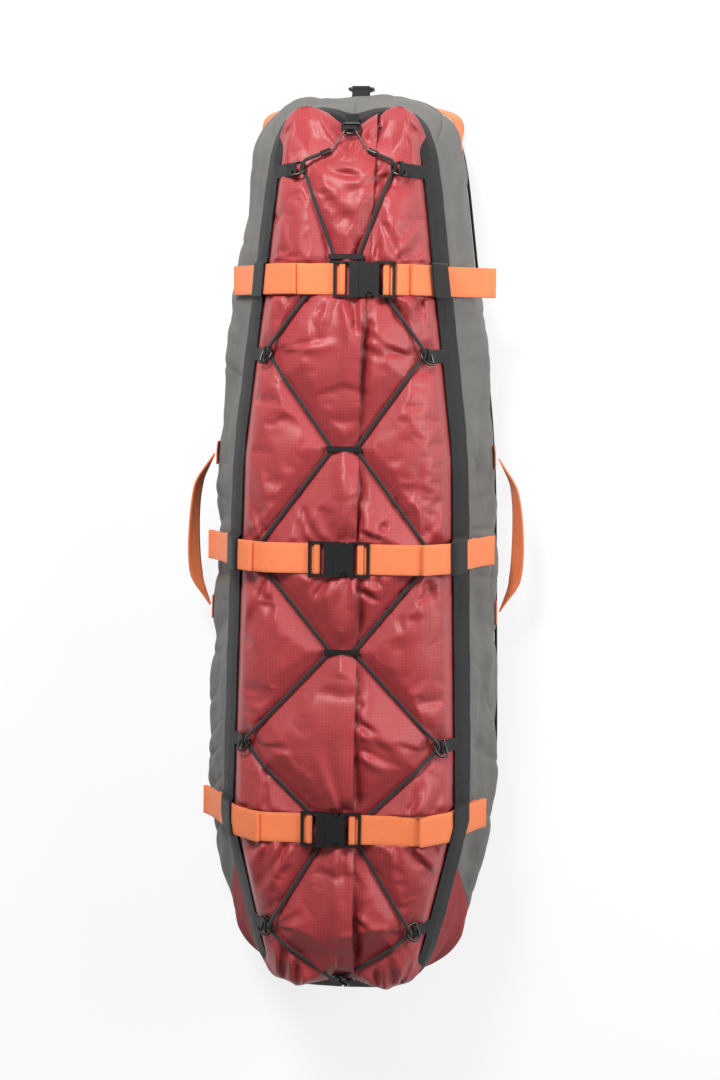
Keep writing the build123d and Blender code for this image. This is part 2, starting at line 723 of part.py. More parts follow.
tow_eye = TOW_WIRE / 2 + GAP
nose_y = skin_hit((0, 0, TOW_Z), (0, 1, 0))[0].Y
with BuildPart() as tow_loop:
    with BuildSketch(Plane.YZ):
        with Locations((TOW_BAR_Y, TOW_Z)):
            Circle(tow_eye + WEB_T)
        with BuildLine():
            Polyline(
                (nose_y + GAP, TOW_Z - WEB_T),
                (TOW_BAR_Y, TOW_Z - WEB_T),
                (TOW_BAR_Y, TOW_Z + WEB_T),
                (nose_y + GAP, TOW_Z + WEB_T),
                close=True,
            )
        make_face()
        with Locations((TOW_BAR_Y, TOW_Z)):
            Circle(tow_eye, mode=Mode.SUBTRACT)
    extrude(amount=TOW_LOOP_W / 2, both=True)
    add(
        band(
            TAPE_IN,
            TAB_OUT,
            (-TOW_LOOP_W / 2, 0, TOW_Z - TOW_PAD_H / 2),
            (TOW_LOOP_W / 2, FAR, TOW_Z + TOW_PAD_H / 2),
        )
    )
finish(tow_loop.part, "tow_loop")

hang = Plane((0, TOW_BAR_Y, TOW_Z), x_dir=(0, 0, -1), z_dir=(0, 1, 0))
finish(ring_solid(hang, TOW_RING_W - TOW_WIRE, TOW_RING_H, TOW_WIRE), "tow_ring")
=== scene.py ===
import json
import math

import bpy
import numpy as np
from mathutils import Matrix, Vector


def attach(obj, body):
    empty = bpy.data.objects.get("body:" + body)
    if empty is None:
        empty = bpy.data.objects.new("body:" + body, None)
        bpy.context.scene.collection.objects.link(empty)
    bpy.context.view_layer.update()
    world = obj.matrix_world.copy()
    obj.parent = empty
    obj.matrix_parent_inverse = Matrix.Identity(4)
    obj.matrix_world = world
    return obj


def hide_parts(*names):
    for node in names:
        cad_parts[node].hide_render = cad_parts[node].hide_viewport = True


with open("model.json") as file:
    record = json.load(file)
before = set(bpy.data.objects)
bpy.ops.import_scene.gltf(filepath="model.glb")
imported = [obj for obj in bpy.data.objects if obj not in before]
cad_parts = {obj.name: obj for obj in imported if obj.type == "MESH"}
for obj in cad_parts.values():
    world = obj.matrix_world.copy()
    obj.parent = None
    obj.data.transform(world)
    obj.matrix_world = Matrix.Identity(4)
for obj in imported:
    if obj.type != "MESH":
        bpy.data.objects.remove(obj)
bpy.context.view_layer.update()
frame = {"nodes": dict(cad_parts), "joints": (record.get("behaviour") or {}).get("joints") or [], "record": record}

bl_info = {
    "name": "Pulk load bag",
    "version": (1, 0, 0),
    "blender": (4, 5, 0),
    "location": "View3D > Sidebar > Load bag",
    "description": "Cloth, webbing, cord and fittings of a filled pulk load bag",
    "category": "Object",
}

MM = 0.001
BODY = "bag"
SIDES = (("left", -1), ("right", 1))
MIRROR = np.array((-1, 1, 1))
RIGHT, AHEAD, UP = np.eye(3)

# Plan of the bag at its widest and its levels from the ground up, as in the part's source
PLAN_Y = np.array((900, 754, 150, -460, -764, -900)) * MM
PLAN_HALF = np.array((152.8, 170, 241, 256, 186, 154.7)) * MM
Z = np.array((4, 85, 205, 252, 285)) * MM
INSET = np.array((8, 0, 58, 86, 125)) * MM
NOSE = np.array((750, 754, 712, 650, 570)) * MM
TAIL = np.array((-760, -774, -758, -712, -650)) * MM
ROUND = np.array((96, 103, 55, 45, 45)) * MM
SPREAD = np.array((1, 1, 0.9, 0.7, 0.3))
LIFT = np.array((0, 0, 0.5, 0.7, 1))
BELLY, RIM, SHOULDER, CROWN = 1, 2, 3, 4
RIM_CORNER = ROUND[RIM]
AVERAGING = 1.47

# Sewn pieces: cloth and tape thickness, heights of the tape's outer and upper face, middle, height and
# half span of the carry handles, bars and sewn ends of the end tabs along the bag
WALL_CLOTH = 1.5 * MM
TAPE_CLOTH = 1.8 * MM
TAPE_FACES = (179, 205), (208, 228)
HANDLE_Y, HANDLE_Z, HANDLE_SPAN = 0.01, 0.078, 0.135
HANDLE_PATCHES = (HANDLE_Y + HANDLE_SPAN, HANDLE_Y - HANDLE_SPAN)
HANDLE_BEND = np.array(((1, 0), (0.86, 0.30), (0.55, 1), (-0.55, 1), (-0.86, 0.30), (-1, 0)))
END_TABS = (("nose", 0.683, 0.708), ("tail", -0.735, -0.754))

# Straps: place along the bag, middle of the buckle, inner ends of the spare webbing, rise at each
# level over the cover, how far the outer ends of the spare webbing stand off and how low they reach
STRAPS = (
    ("front", 440, 30, (-78, 102), (2.4, 2.4, 4, 9.5, 9.5), (6, 40), (124, 124)),
    ("mid", -10, -5, (-145, 129), (2.4, 2.4, 9, 24, 20), (8, 4), (124, 126)),
    ("rear", -460, -14, (-130, 131), (2.4, 2.4, 4, 13, 13), (6, 2), (124, 152)),
)
STRAP_HALF = 25 * MM

# A strap's turn over the middle bar of its buckle: way from the buckle's middle, and rise
BAR_TURN = np.array(((30.7, -0.5), (31, 3.9), (39, 3.9), (40.5, 0), (51, 0))) * MM
BAR_REACH = 52 * MM

# Swell of the cover's cloth at the tail, the rear, middle and front strap and the nose, its least rise
# over the solids, and the seed of its folds
SWELL = np.array((3, 11, 17, 8, 3)) * MM
COVER_RISE = 4 * MM
FOLD_SEED = 21

# Cover: way from the rim, the ends and the fittings over which it swells, half width of the groove under
# the cord, depth below the cord, a strap and the rim, and reach of a fitting's hold on the cloth
RIM_EASE, END_EASE, FITTING_EASE = 60 * MM, 80 * MM, 30 * MM
GROOVE = 10 * MM
UNDER_CORD, UNDER_STRAP, UNDER_RIM = 3.8 * MM, 1.6 * MM, 2 * MM
FITTING_HOLD = 12 * MM
WOBBLE = 3 * MM

# Rings on each side: plan place of the apex. Spots of the other fittings that hold the cover down.
# Places of the clips along the bag.
RING_APEX = ((68, 614), (116, 318), (134, -10), (149, -326), (108, -640))
FITTING_SPOTS = (
    (0, 668), (0, 690), (0, -722), (0, -738), (-34, 646), (34, 646), (-52, 636), (52, 636),
)
CLIP_PLACES = (475, 168, -165, -466)

# Route of the shock cord on the left, from the hook at the nose to the last ring, in millimetres
LACING = (
    (-45, 640, 265.9), (-70.4, 628.8, 276.8), (-77.3, 616.4, 271.7), (-68.3, 606, 272.2),
    (-54.9, 570.5, 290.6), (-19, 475, 290.8), (-89.3, 379.4, 290.8), (-126.2, 329.2, 280.7),
    (-127.8, 318.2, 270.6), (-118.6, 308.4, 273.5), (-100.1, 282.3, 290.8), (-19, 168, 290.8),
    (-117.8, 35.7, 290.8), (-144.3, 0.3, 285.8), (-145.8, -10, 274.9), (-136.6, -19.9, 277.1),
    (-120.2, -40.2, 290.8), (-19, -165, 290.8), (-126.6, -280.6, 290.8), (-159.3, -315.7, 279.7),
    (-160.8, -326, 268.8), (-151.6, -335.9, 271), (-127.4, -359.7, 290.8), (-19, -466, 290.8),
    (-98.7, -600, 290.8), (-118.2, -632.7, 284.1), (-119.8, -640.4, 271.3), (-110.6, -650.6, 271.3),
)
LACING_TAIL = (
    (-93.5, -664.6, 282.6), (-10, -733.4, 253.7), (0, -733.9, 242.5), (10, -724.9, 245.4),
    (28.1, -711.6, 258), (91.4, -664.7, 283),
)


def srgb(red, green, blue):
    """Linear colour of an 8-bit screen colour."""
    values = np.array((red, green, blue)) / 255
    return tuple(np.where(values > 0.04045, ((values + 0.055) / 1.055) ** 2.4, values / 12.92))


COLOUR = {"subtype": "COLOR", "size": 3, "min": 0, "max": 1}


class BagColours(bpy.types.PropertyGroup):
    cover: bpy.props.FloatVectorProperty(
        name="Cover", description="Ripstop cloth of the cover", default=srgb(163, 54, 58), **COLOUR)
    tail: bpy.props.FloatVectorProperty(
        name="Tail", description="Coated cloth of the tail panel", default=srgb(150, 52, 57), **COLOUR)
    wall: bpy.props.FloatVectorProperty(
        name="Walls", description="Coated cloth of the sides", default=srgb(104, 102, 99), **COLOUR)
    strap: bpy.props.FloatVectorProperty(
        name="Straps", description="Bright webbing", default=srgb(240, 130, 80), **COLOUR)
    webbing: bpy.props.FloatVectorProperty(
        name="Trim", description="Dark webbing and tape", default=srgb(22, 21, 22), **COLOUR)
    plastic: bpy.props.FloatVectorProperty(
        name="Plastic", description="Buckles and cord clips", default=srgb(19, 19, 21), **COLOUR)
    metal: bpy.props.FloatVectorProperty(
        name="Rings", description="Dark nickel of rings and hooks", default=srgb(74, 72, 70), **COLOUR)


class BagSizes(bpy.types.PropertyGroup):
    strap_width: bpy.props.FloatProperty(
        name="Strap width", description="Width of the main straps", default=0.05, unit="LENGTH")
    narrow_width: bpy.props.FloatProperty(
        name="Narrow webbing", description="Width of handles, tabs and grab strap", default=0.025,
        unit="LENGTH")
    webbing_thickness: bpy.props.FloatProperty(
        name="Webbing thickness", description="Thickness of one layer of webbing", default=0.002,
        unit="LENGTH")
    cord_diameter: bpy.props.FloatProperty(
        name="Cord diameter", description="Diameter of the shock cord", default=0.006, unit="LENGTH")
    cloth_step: bpy.props.FloatProperty(
        name="Cloth step", description="Spacing of the cover's cloth grid", default=0.0042, unit="LENGTH")
    fullness: bpy.props.FloatProperty(
        name="Fullness", description="Spare cloth in the cover, as a share of its size", default=0.03)
    handle_bow: bpy.props.FloatProperty(
        name="Handle bow", description="How far a carry handle stands off its hinge line", default=0.0335,
        unit="LENGTH")


# Shared sums

def clamp(share):
    """Values held between 0 and 1."""
    return np.clip(share, 0, 1)


def bell(away, width):
    """Bell curve, 1 at the middle: e to the power of minus the square of away over width."""
    return np.exp(-((away / width) ** 2))


def plan_half(y):
    """Half width of the plan at y, straight from corner to corner."""
    return np.interp(-np.asarray(y), -PLAN_Y, PLAN_HALF)


def grown(rise):
    """Height, inset and end columns of the level table, pushed out by a rise at each level."""
    rise = np.broadcast_to(np.asarray(rise, float), Z.shape) * MM
    out = rise * SPREAD
    return Z + rise * LIFT, INSET - out, NOSE + out, TAIL - out


def top_height(x, y, rise=0.0):
    """Height of the upper skin: the lowest of the slopes from the side, the nose and the tail."""
    z, inset, nose, tail = (column[BELLY:] for column in grown(rise))
    side = np.interp(plan_half(y) - np.abs(x), inset, z)
    front = np.interp(-np.asarray(y), -nose, z)
    back = np.interp(y, tail, z)
    return np.minimum(np.minimum(side, front), back)


def soft_top(x, y, rise=0.0, reach=0.02):
    """Upper skin with its edges rounded: the mean height over a ring of neighbours."""
    angles = np.linspace(0, 2 * np.pi, 8, endpoint=False)
    total = top_height(x, y, rise)
    for angle in angles:
        total = total + top_height(x + reach * np.cos(angle), y + reach * np.sin(angle), rise)
    return total / (len(angles) + 1)


def rim_half(y):
    """Half width of the rim at y, drawn in by a quarter circle at the corners of nose and tail."""
    half = plan_half(y) - INSET[RIM]
    for end in (NOSE[RIM] - y, y - TAIL[RIM]):
        gap = RIM_CORNER - np.clip(end, 0, RIM_CORNER)
        half = half - (RIM_CORNER - np.sqrt(RIM_CORNER**2 - gap**2))
    return half


def smooth(values, width):
    """Moving average of given width along the first axis, with the ends held."""
    width = int(width) | 1
    pad = width // 2
    padded = np.concatenate([np.repeat(values[:1], pad, 0), values, np.repeat(values[-1:], pad, 0)])
    sums = np.cumsum(np.concatenate([np.zeros_like(padded[:1]), padded]), axis=0)
    return (sums[width:] - sums[:-width]) / width


def unit(vectors):
    """Vectors divided by their lengths."""
    return vectors / np.maximum(np.linalg.norm(vectors, axis=-1, keepdims=True), 1e-9)


def arc_length(path):
    """Way along a polyline to each of its points."""
    return np.concatenate([[0], np.cumsum(np.linalg.norm(np.diff(path, axis=0), axis=1))])


def resample(points, step):
    """Points at even steps along a polyline."""
    points = np.asarray(points, float)
    lengths = arc_length(points)
    places = np.linspace(0, lengths[-1], max(int(lengths[-1] / step), 4) + 1)
    return np.stack([np.interp(places, lengths, column) for column in points.T], -1)


def ease(share):
    """S-curve from 0 to 1: three squares less two cubes."""
    return share * share * (3 - 2 * share)


def noise(u, v, seed):
    """Smooth value noise: random heights on a lattice, blended with an S-curve between its points."""
    size = 64
    table = np.random.default_rng(seed).random((size, size)) * 2 - 1
    iu = np.floor(u).astype(int)
    iv = np.floor(v).astype(int)
    fu = ease(u - iu)
    fv = ease(v - iv)
    corner = [table[(iu + a) % size, (iv + b) % size] for a, b in ((0, 0), (1, 0), (0, 1), (1, 1))]
    low = corner[0] + (corner[1] - corner[0]) * fu
    high = corner[2] + (corner[3] - corner[2]) * fu
    return low + (high - low) * fv


def outline(level, count=900):
    """Right half of a level's outline from the nose's middle to the tail's. Three moving averages, each
    AVERAGING corner radii long, cut its corners back as far as round ones of that radius."""
    ys = np.array((NOSE[level], PLAN_Y[2], PLAN_Y[3], TAIL[level]))
    xs = plan_half(ys) - INSET[level]
    corners = np.stack([np.concatenate([[0], xs, [0]]), np.concatenate([ys[:1], ys, ys[-1:]])], -1)
    step = arc_length(corners)[-1] / count
    line = resample(corners, step)
    mirror = np.array((-1, 1))
    whole = np.concatenate([line[:0:-1] * mirror, line, line[-2::-1] * mirror])
    for _ in range(3):
        whole = smooth(whole, AVERAGING * ROUND[level] / step)
    part = whole[len(line) - 1: 2 * len(line) - 1]
    return resample(part, arc_length(part)[-1] / count)[:count]


OUTLINES = np.stack([outline(level) for level in range(len(Z))])


def shell(share, grow=0.0):
    """Points of the skin on the right half: rows at level numbers in share, columns from nose to tail,
    straight between two levels and pushed out along the outline's own normal by grow."""
    share = np.atleast_1d(np.asarray(share, float))
    low = np.clip(share.astype(int), 0, len(Z) - 2)
    part = (share - low)[:, None, None]
    flat = OUTLINES[low] * (1 - part) + OUTLINES[low + 1] * part
    height = np.interp(share, np.arange(len(Z)), Z)
    along = unit(np.gradient(flat, axis=1))
    normal = np.stack([-along[..., 1], along[..., 0]], -1)
    flat = flat + normal * grow
    return np.concatenate([flat, np.broadcast_to(height[:, None, None], flat.shape[:2] + (1,))], -1)


def level_share(z):
    """Level number, with its fraction, at a height."""
    return np.interp(z, Z, np.arange(len(Z)))


# Meshes

def make_mesh(name, points, faces, uv, looks):
    """An object of points and faces, with a flat place for each point and its material."""
    mesh = bpy.data.meshes.new(name)
    mesh.from_pydata(points.reshape(-1, 3), [], faces)
    layer = mesh.uv_layers.new(name="UVMap")
    order = np.empty(len(mesh.loops), np.int32)
    mesh.loops.foreach_get("vertex_index", order)
    layer.data.foreach_set("uv", uv.reshape(-1, 2)[order].astype(np.float32).ravel())
    mesh.shade_smooth()
    piece = bpy.data.objects.new(name, mesh)
    bpy.context.collection.objects.link(piece)
    piece.data.materials.append(bpy.data.materials[looks])
    return piece


def grid_faces(rows, columns, flip=False):
    """Quads of a grid, row by row."""
    index = np.arange(rows * columns).reshape(rows, columns)
    quads = np.stack([index[:-1, :-1], index[:-1, 1:], index[1:, 1:], index[1:, :-1]], -1).reshape(-1, 4)
    return (quads[:, ::-1] if flip else quads).tolist()


def grid_piece(name, points, uv, looks, flip=False, thickness=0.0, levels=0):
    """A surface on a grid of points, with thickness on its inner side."""
    rows, columns = points.shape[:2]
    piece = make_mesh(name, points, grid_faces(rows, columns, flip), uv, looks)
    if thickness:
        wall = piece.modifiers.new("thickness", "SOLIDIFY")
        wall.thickness = thickness
        wall.offset = -1
    if levels:
        fine = piece.modifiers.new("fine", "SUBSURF")
        fine.levels = levels
        fine.render_levels = levels
    return piece


def profile_piece(name, path, across, normal, profile, looks):
    """A closed profile of (across, normal) points carried along a path, with flat ends."""
    shape = (
        path[:, None] + across[:, None] * profile[None, :, :1] + normal[:, None] * profile[None, :, 1:]
    )
    rows, columns = shape.shape[:2]
    index = np.arange(rows * columns).reshape(rows, columns)
    ring = np.concatenate([index, index[:, :1]], 1)
    quads = np.stack([ring[:-1, :-1], ring[1:, :-1], ring[1:, 1:], ring[:-1, 1:]], -1).reshape(-1, 4)
    faces = quads.tolist() + [index[0].tolist(), index[-1, ::-1].tolist()]
    uv = np.stack(np.broadcast_arrays(arc_length(path)[:, None], profile[None, :, 0]), -1)
    return make_mesh(name, shape, faces, uv, looks)


def webbing_profile(width, thickness, steps=8):
    """Flat section of woven webbing: straight faces and half-round edges."""
    side = width / 2 - thickness / 2
    flat = np.linspace(-side, side, steps)
    turn = np.linspace(90, -90, 5)[1:-1] * np.pi / 180
    half = thickness / 2
    right = np.stack([side + half * np.cos(turn), half * np.sin(turn)], -1)
    top = np.stack([flat, np.full(steps, half)], -1)
    return np.concatenate([top, right, -top, -right])


def webbing(name, path, across, width, thickness, looks, outward=None):
    """Webbing along a path, lying flat on the plane of its path and the across direction, with its face
    turned outward at the middle."""
    along = unit(np.gradient(path, axis=0))
    across = np.broadcast_to(across, path.shape)
    across = unit(across - along * np.sum(across * along, -1, keepdims=True))
    normal = np.cross(across, along)
    if outward is not None and np.dot(normal[len(normal) // 2], outward) < 0:
        across = -across
        normal = -normal
    return profile_piece(name, path, across, normal, webbing_profile(width, thickness), looks)


def tube(name, path, radius, looks, sides=10):
    """A round section carried along a path, with its frame carried on from point to point."""
    along = unit(np.gradient(path, axis=0))
    across = np.empty_like(path)
    across[0] = unit(np.cross(along[0], UP))
    for row in range(1, len(path)):
        across[row] = unit(across[row - 1] - along[row] * np.dot(across[row - 1], along[row]))
    angles = np.linspace(0, 2 * np.pi, sides, endpoint=False)
    profile = np.stack([np.sin(angles), np.cos(angles)], -1) * radius
    return profile_piece(name, path, across, np.cross(across, along), profile, looks)


def dress(piece, slot, *nodes, body=BODY):
    """Fix a piece to its body and hide the solids it stands for."""
    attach(piece, body)
    if nodes:
        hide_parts(*nodes)
    return piece


def nurbs_points(points, resolution=10):
    """Points of a smooth spline that has the given points as its control points."""
    curve = bpy.data.curves.new("route", "CURVE")
    curve.dimensions = "3D"
    spline = curve.splines.new("NURBS")
    spline.points.add(len(points) - 1)
    spline.points.foreach_set("co", np.concatenate([points, np.ones((len(points), 1))], 1).ravel())
    spline.order_u = 3
    spline.use_endpoint_u = True
    curve.resolution_u = resolution
    holder = bpy.data.objects.new("route", curve)
    bpy.context.collection.objects.link(holder)
    mesh = bpy.data.meshes.new_from_object(holder)
    found = np.empty(len(mesh.vertices) * 3)
    mesh.vertices.foreach_get("co", found)
    bpy.data.objects.remove(holder)
    bpy.data.curves.remove(curve)
    bpy.data.meshes.remove(mesh)
    return found.reshape(-1, 3)


# Materials

class Nodes:
    """A material and a small writer of its node tree, with its places in the object and in the UV map."""

    def __init__(self, name):
        self.material = bpy.data.materials.new(name)
        self.material.use_nodes = True
        self.tree = self.material.node_tree
        self.shader = self.tree.nodes["Principled BSDF"]
        coords = self.add("ShaderNodeTexCoord")
        split = self.add("ShaderNodeSeparateXYZ")
        self.link(coords.outputs["UV"], split.inputs[0])
        self.place = coords.outputs["Object"]
        self.along, self.over = split.outputs[0], split.outputs[1]

    def add(self, kind, **settings):
        """A new node with its settings."""
        node = self.tree.nodes.new(kind)
        for key, value in settings.items():
            setattr(node, key, value)
        return node

    def link(self, source, target):
        """Feed an input from an output, or set it to a plain value."""
        if isinstance(source, bpy.types.NodeSocket):
            self.tree.links.new(source, target)
        else:
            target.default_value = source

    def maths(self, operation, *values):
        """One sum of outputs and numbers."""
        node = self.add("ShaderNodeMath", operation=operation)
        for place, value in enumerate(values):
            self.link(value, node.inputs[place])
        return node.outputs[0]

    def mix(self, factor, first, second):
        """Blend of two colours, the first where the factor is 0."""
        node = self.add("ShaderNodeMix", data_type="RGBA")
        for place, value in ((0, factor), (6, first), (7, second)):
            self.link(value, node.inputs[place])
        return node.outputs[2]

    def noise(self, scale, detail):
        """Cloudy noise over the object."""
        node = self.add("ShaderNodeTexNoise")
        for name, value in (("Vector", self.place), ("Scale", scale), ("Detail", detail)):
            self.link(value, node.inputs[name])
        return node.outputs[0]

    def lines(self, coordinate, pitch, share):
        """1 on thin lines at an even pitch and 0 between them."""
        wrapped = self.maths("FRACT", self.maths("DIVIDE", coordinate, pitch))
        return self.maths("LESS_THAN", wrapped, share)

    def wave(self, coordinate, rate):
        """Sine of a coordinate times a rate."""
        return self.maths("SINE", self.maths("MULTIPLY", coordinate, rate))

    def surface(self, colour, **values):
        """Feed the shader its colour and its other inputs, by their names with _ for spaces."""
        self.link(colour, self.shader.inputs["Base Color"])
        for name, value in values.items():
            self.link(value, self.shader.inputs[name.replace("_", " ")])

    def bump(self, height, strength, distance):
        """Relief laid on top of the relief that is there already."""
        node = self.add("ShaderNodeBump")
        for name, value in (("Strength", strength), ("Distance", distance), ("Height", height)):
            self.link(value, node.inputs[name])
        normal = self.shader.inputs["Normal"]
        if normal.links:
            self.link(normal.links[0].from_socket, node.inputs["Normal"])
        self.link(node.outputs[0], normal)


def tint(colour, share):
    """Colour times a share, with full cover."""
    return (*(value * share for value in colour), 1)


def ripstop_material(name, colour):
    """Thin ripstop nylon: a raised square grid of thicker yarns, fine weave and a satin sheen."""
    nodes = Nodes(name)
    pitch, share = 0.0056, 0.2
    yarns = [nodes.lines(coordinate, pitch, share) for coordinate in (nodes.along, nodes.over)]
    grid = nodes.maths("MAXIMUM", *yarns)
    tone = nodes.mix(nodes.noise(9, 4), tint(colour, 0.86), tint(colour, 1.12))
    yarn = nodes.mix(nodes.maths("MULTIPLY", grid, 0.36), tone, tint(colour, 0.5))
    nodes.surface(yarn, Roughness=0.5, Sheen_Weight=0.08, Sheen_Roughness=0.35, Specular_IOR_Level=0.5)
    nodes.bump(grid, 0.25, 0.0004)
    nodes.bump(nodes.noise(900, 2), 0.08, 0.0003)
    nodes.bump(nodes.noise(30, 4), 0.22, 0.004)


def coated_material(name, colour, roughness):
    """Heavy coated cloth: fine grain, soft creases and a dull, slightly uneven surface."""
    nodes = Nodes(name)
    grain = nodes.noise(700, 3)
    tone = nodes.mix(nodes.noise(7, 5), tint(colour, 0.84), tint(colour, 1.14))
    speckle = nodes.mix(nodes.maths("MULTIPLY", grain, 0.35), tone, tint(colour, 0.7))
    nodes.surface(speckle, Roughness=roughness, Specular_IOR_Level=0.35)
    nodes.bump(grain, 0.15, 0.0004)
    nodes.bump(nodes.noise(38, 5), 0.5, 0.006)


def webbing_material(name, colour, half_width, sheen=0.12):
    """Woven webbing: zigzag ribs across and rows along, with darker selvedges, in the UV map's metres."""
    nodes = Nodes(name)
    zigzag = nodes.maths("PINGPONG", nodes.over, 0.0045)
    rib = nodes.wave(nodes.maths("ADD", nodes.along, zigzag), 2600)
    row = nodes.wave(nodes.over, 3300)
    weave = nodes.maths("ADD", nodes.maths("MULTIPLY", rib, 0.6), nodes.maths("MULTIPLY", row, 0.4))
    edge = nodes.maths("GREATER_THAN", nodes.maths("ABSOLUTE", nodes.over), half_width - 0.0022)
    tone = nodes.mix(nodes.noise(30, 3), tint(colour, 0.88), tint(colour, 1.08))
    shade = nodes.maths("ADD", nodes.maths("MULTIPLY", weave, 0.12), 0.14)
    shade = nodes.maths("ADD", shade, nodes.maths("MULTIPLY", edge, 0.22))
    yarn = nodes.mix(shade, tone, tint(colour, 0.45))
    nodes.surface(yarn, Roughness=0.62, Sheen_Weight=sheen, Specular_IOR_Level=0.25)
    nodes.bump(weave, 0.35, 0.0005)


def braid_material(name, colour):
    """Braided sheath of a cord: two sets of slanting yarns crossing round it, painted lighter on the raised yarns
    as a highlight and darker between them as shade.
    """
    nodes = Nodes(name)
    yarns = [nodes.wave(nodes.maths(way, nodes.along, nodes.over), 2100) for way in ("ADD", "SUBTRACT")]
    weave = nodes.maths("MAXIMUM", *yarns)
    # Painted light: the colour runs from 0.4 times the cord's colour in the troughs (painted shade) to 1.5 times
    # on the raised yarns (painted highlight)
    factor = nodes.maths("ADD", nodes.maths("MULTIPLY", weave, 0.5), 0.5)
    nodes.surface(nodes.mix(factor, tint(colour, 0.4), tint(colour, 1.5)), Roughness=0.7, Sheen_Weight=0.2)
    nodes.bump(weave, 0.5, 0.0007)


def plastic_material(name, colour):
    """Moulded plastic with a fine spark-eroded grain and a slightly uneven tone."""
    nodes = Nodes(name)
    nodes.surface(nodes.mix(nodes.noise(60, 3), tint(colour, 0.8), tint(colour, 1.35)), Roughness=0.42)
    nodes.bump(nodes.noise(1400, 2), 0.18, 0.0003)


def metal_material(name, colour):
    """Dark nickel plating with faint marks."""
    nodes = Nodes(name)
    marks = nodes.noise(420, 4)
    nodes.surface(nodes.mix(marks, tint(colour, 0.75), tint(colour, 1.2)), Metallic=1, Roughness=0.34)
    nodes.bump(marks, 0.06, 0.0003)


class BAG_OT_finishes(bpy.types.Operator):
    """Make the cloth, webbing, plastic and metal finishes"""
    bl_idname = "load_bag.finishes"
    bl_label = "Finishes"

    def execute(self, context):
        colours = context.scene.bag_colours
        sizes = context.scene.bag_sizes
        ripstop_material("red_ripstop", colours.cover)
        coated_material("red_tail_cloth", colours.tail, 0.75)
        coated_material("grey_coated_cloth", colours.wall, 0.6)
        webbing_material("strap_weave", colours.strap, sizes.strap_width / 2)
        webbing_material("orange_narrow_webbing", colours.strap, sizes.narrow_width / 2)
        webbing_material("tape_weave", colours.webbing, sizes.narrow_width / 2, 0.06)
        braid_material("black_braid", colours.webbing)
        plastic_material("moulded_plastic", colours.plastic)
        metal_material("nickel_plate", colours.metal)
        return {"FINISHED"}


class BAG_OT_fittings(bpy.types.Operator):
    """Give the buckles, clips, rings and hooks their finish"""
    bl_idname = "load_bag.fittings"
    bl_label = "Buckles, rings and hooks"

    def execute(self, context):
        looks = {"black_plastic": "moulded_plastic", "dark_nickel": "nickel_plate"}
        for row in frame["record"]["subparts"]:
            if row["material_slot"] in looks:
                for place in frame["nodes"][row["node"]].material_slots:
                    place.material = bpy.data.materials[looks[row["material_slot"]]]
        return {"FINISHED"}


# Cover

def strap_height(x, y):
    """Underside of the strap over a plan position, and 1 where one lies there."""
    height = np.zeros_like(x)
    under = np.zeros_like(x)
    for _, place, _, _, rise, *_ in STRAPS:
        inside = np.abs(y - place * MM) < STRAP_HALF
        height = np.where(inside, soft_top(x, np.full_like(y, place * MM), np.array(rise)), height)
        under = np.where(inside, 1, under)
    return height, under


def strap_gap(y):
    """Distance along the bag to the edge of the nearest strap, 0 under one."""
    places = np.array([row[1] for row in STRAPS]) * MM
    return np.clip(np.abs(y[..., None] - places).min(-1) - STRAP_HALF, 0, None)


def cord_distance(x, y, route):
    """Distance in plan from each point to the cord, and the cord's height at the nearest place."""
    best = np.full(x.shape, 1.0)
    height = np.zeros(x.shape)
    for start, end in zip(route[:-1], route[1:]):
        run = end - start
        square = max(run[0] ** 2 + run[1] ** 2, 1e-12)
        share = clamp(((x - start[0]) * run[0] + (y - start[1]) * run[1]) / square)
        away = np.hypot(x - start[0] - share * run[0], y - start[1] - share * run[1])
        nearer = away < best
        height = np.where(nearer, start[2] + share * run[2], height)
        best = np.where(nearer, away, best)
    return best, height


def fitting_distance(x, y):
    """Distance in plan to the nearest ring, hook or end tab."""
    spots = [(sign * (apex + 8), place) for apex, place in RING_APEX for _, sign in SIDES]
    spots = np.array([*spots, *FITTING_SPOTS]) * MM
    return np.hypot(x[..., None] - spots[:, 0], y[..., None] - spots[:, 1]).min(-1)


def whole_route():
    """Route of the cord: down the left, through the tail's ring and, mirrored, back up the right."""
    left = np.array(LACING) * MM
    return np.concatenate([left, np.array(LACING_TAIL) * MM, left[::-1] * MIRROR])


def nose_notch(points):
    """Points with the middle of the nose drawn back by its ring: a bell across the rim that fades out
    down the wall."""
    x, y, z = np.moveaxis(points, -1, 0)
    depth = 0.016 * bell(x, 0.03)
    depth = depth * clamp((z - 0.14) / 0.06) * clamp((y - 0.62) / 0.06)
    return np.stack([x, y - depth, z], -1)


def cover_grid(step):
    """Rows from tail to nose, closer at the ends, and columns from the left rim to the right."""
    half_width = 0.2
    length = NOSE[RIM] - TAIL[RIM]
    even = np.linspace(-1, 1, int(length / step))
    closer = even + 0.12 * np.sin(np.pi * even) / np.pi
    y = (TAIL[RIM] + NOSE[RIM]) / 2 + length / 2 * closer
    share = np.linspace(-1, 1, int(2 * half_width / step) // 2 * 2 + 1)
    x = share[None, :] * rim_half(y)[:, None]
    return x, np.broadcast_to(y[:, None], x.shape).copy()


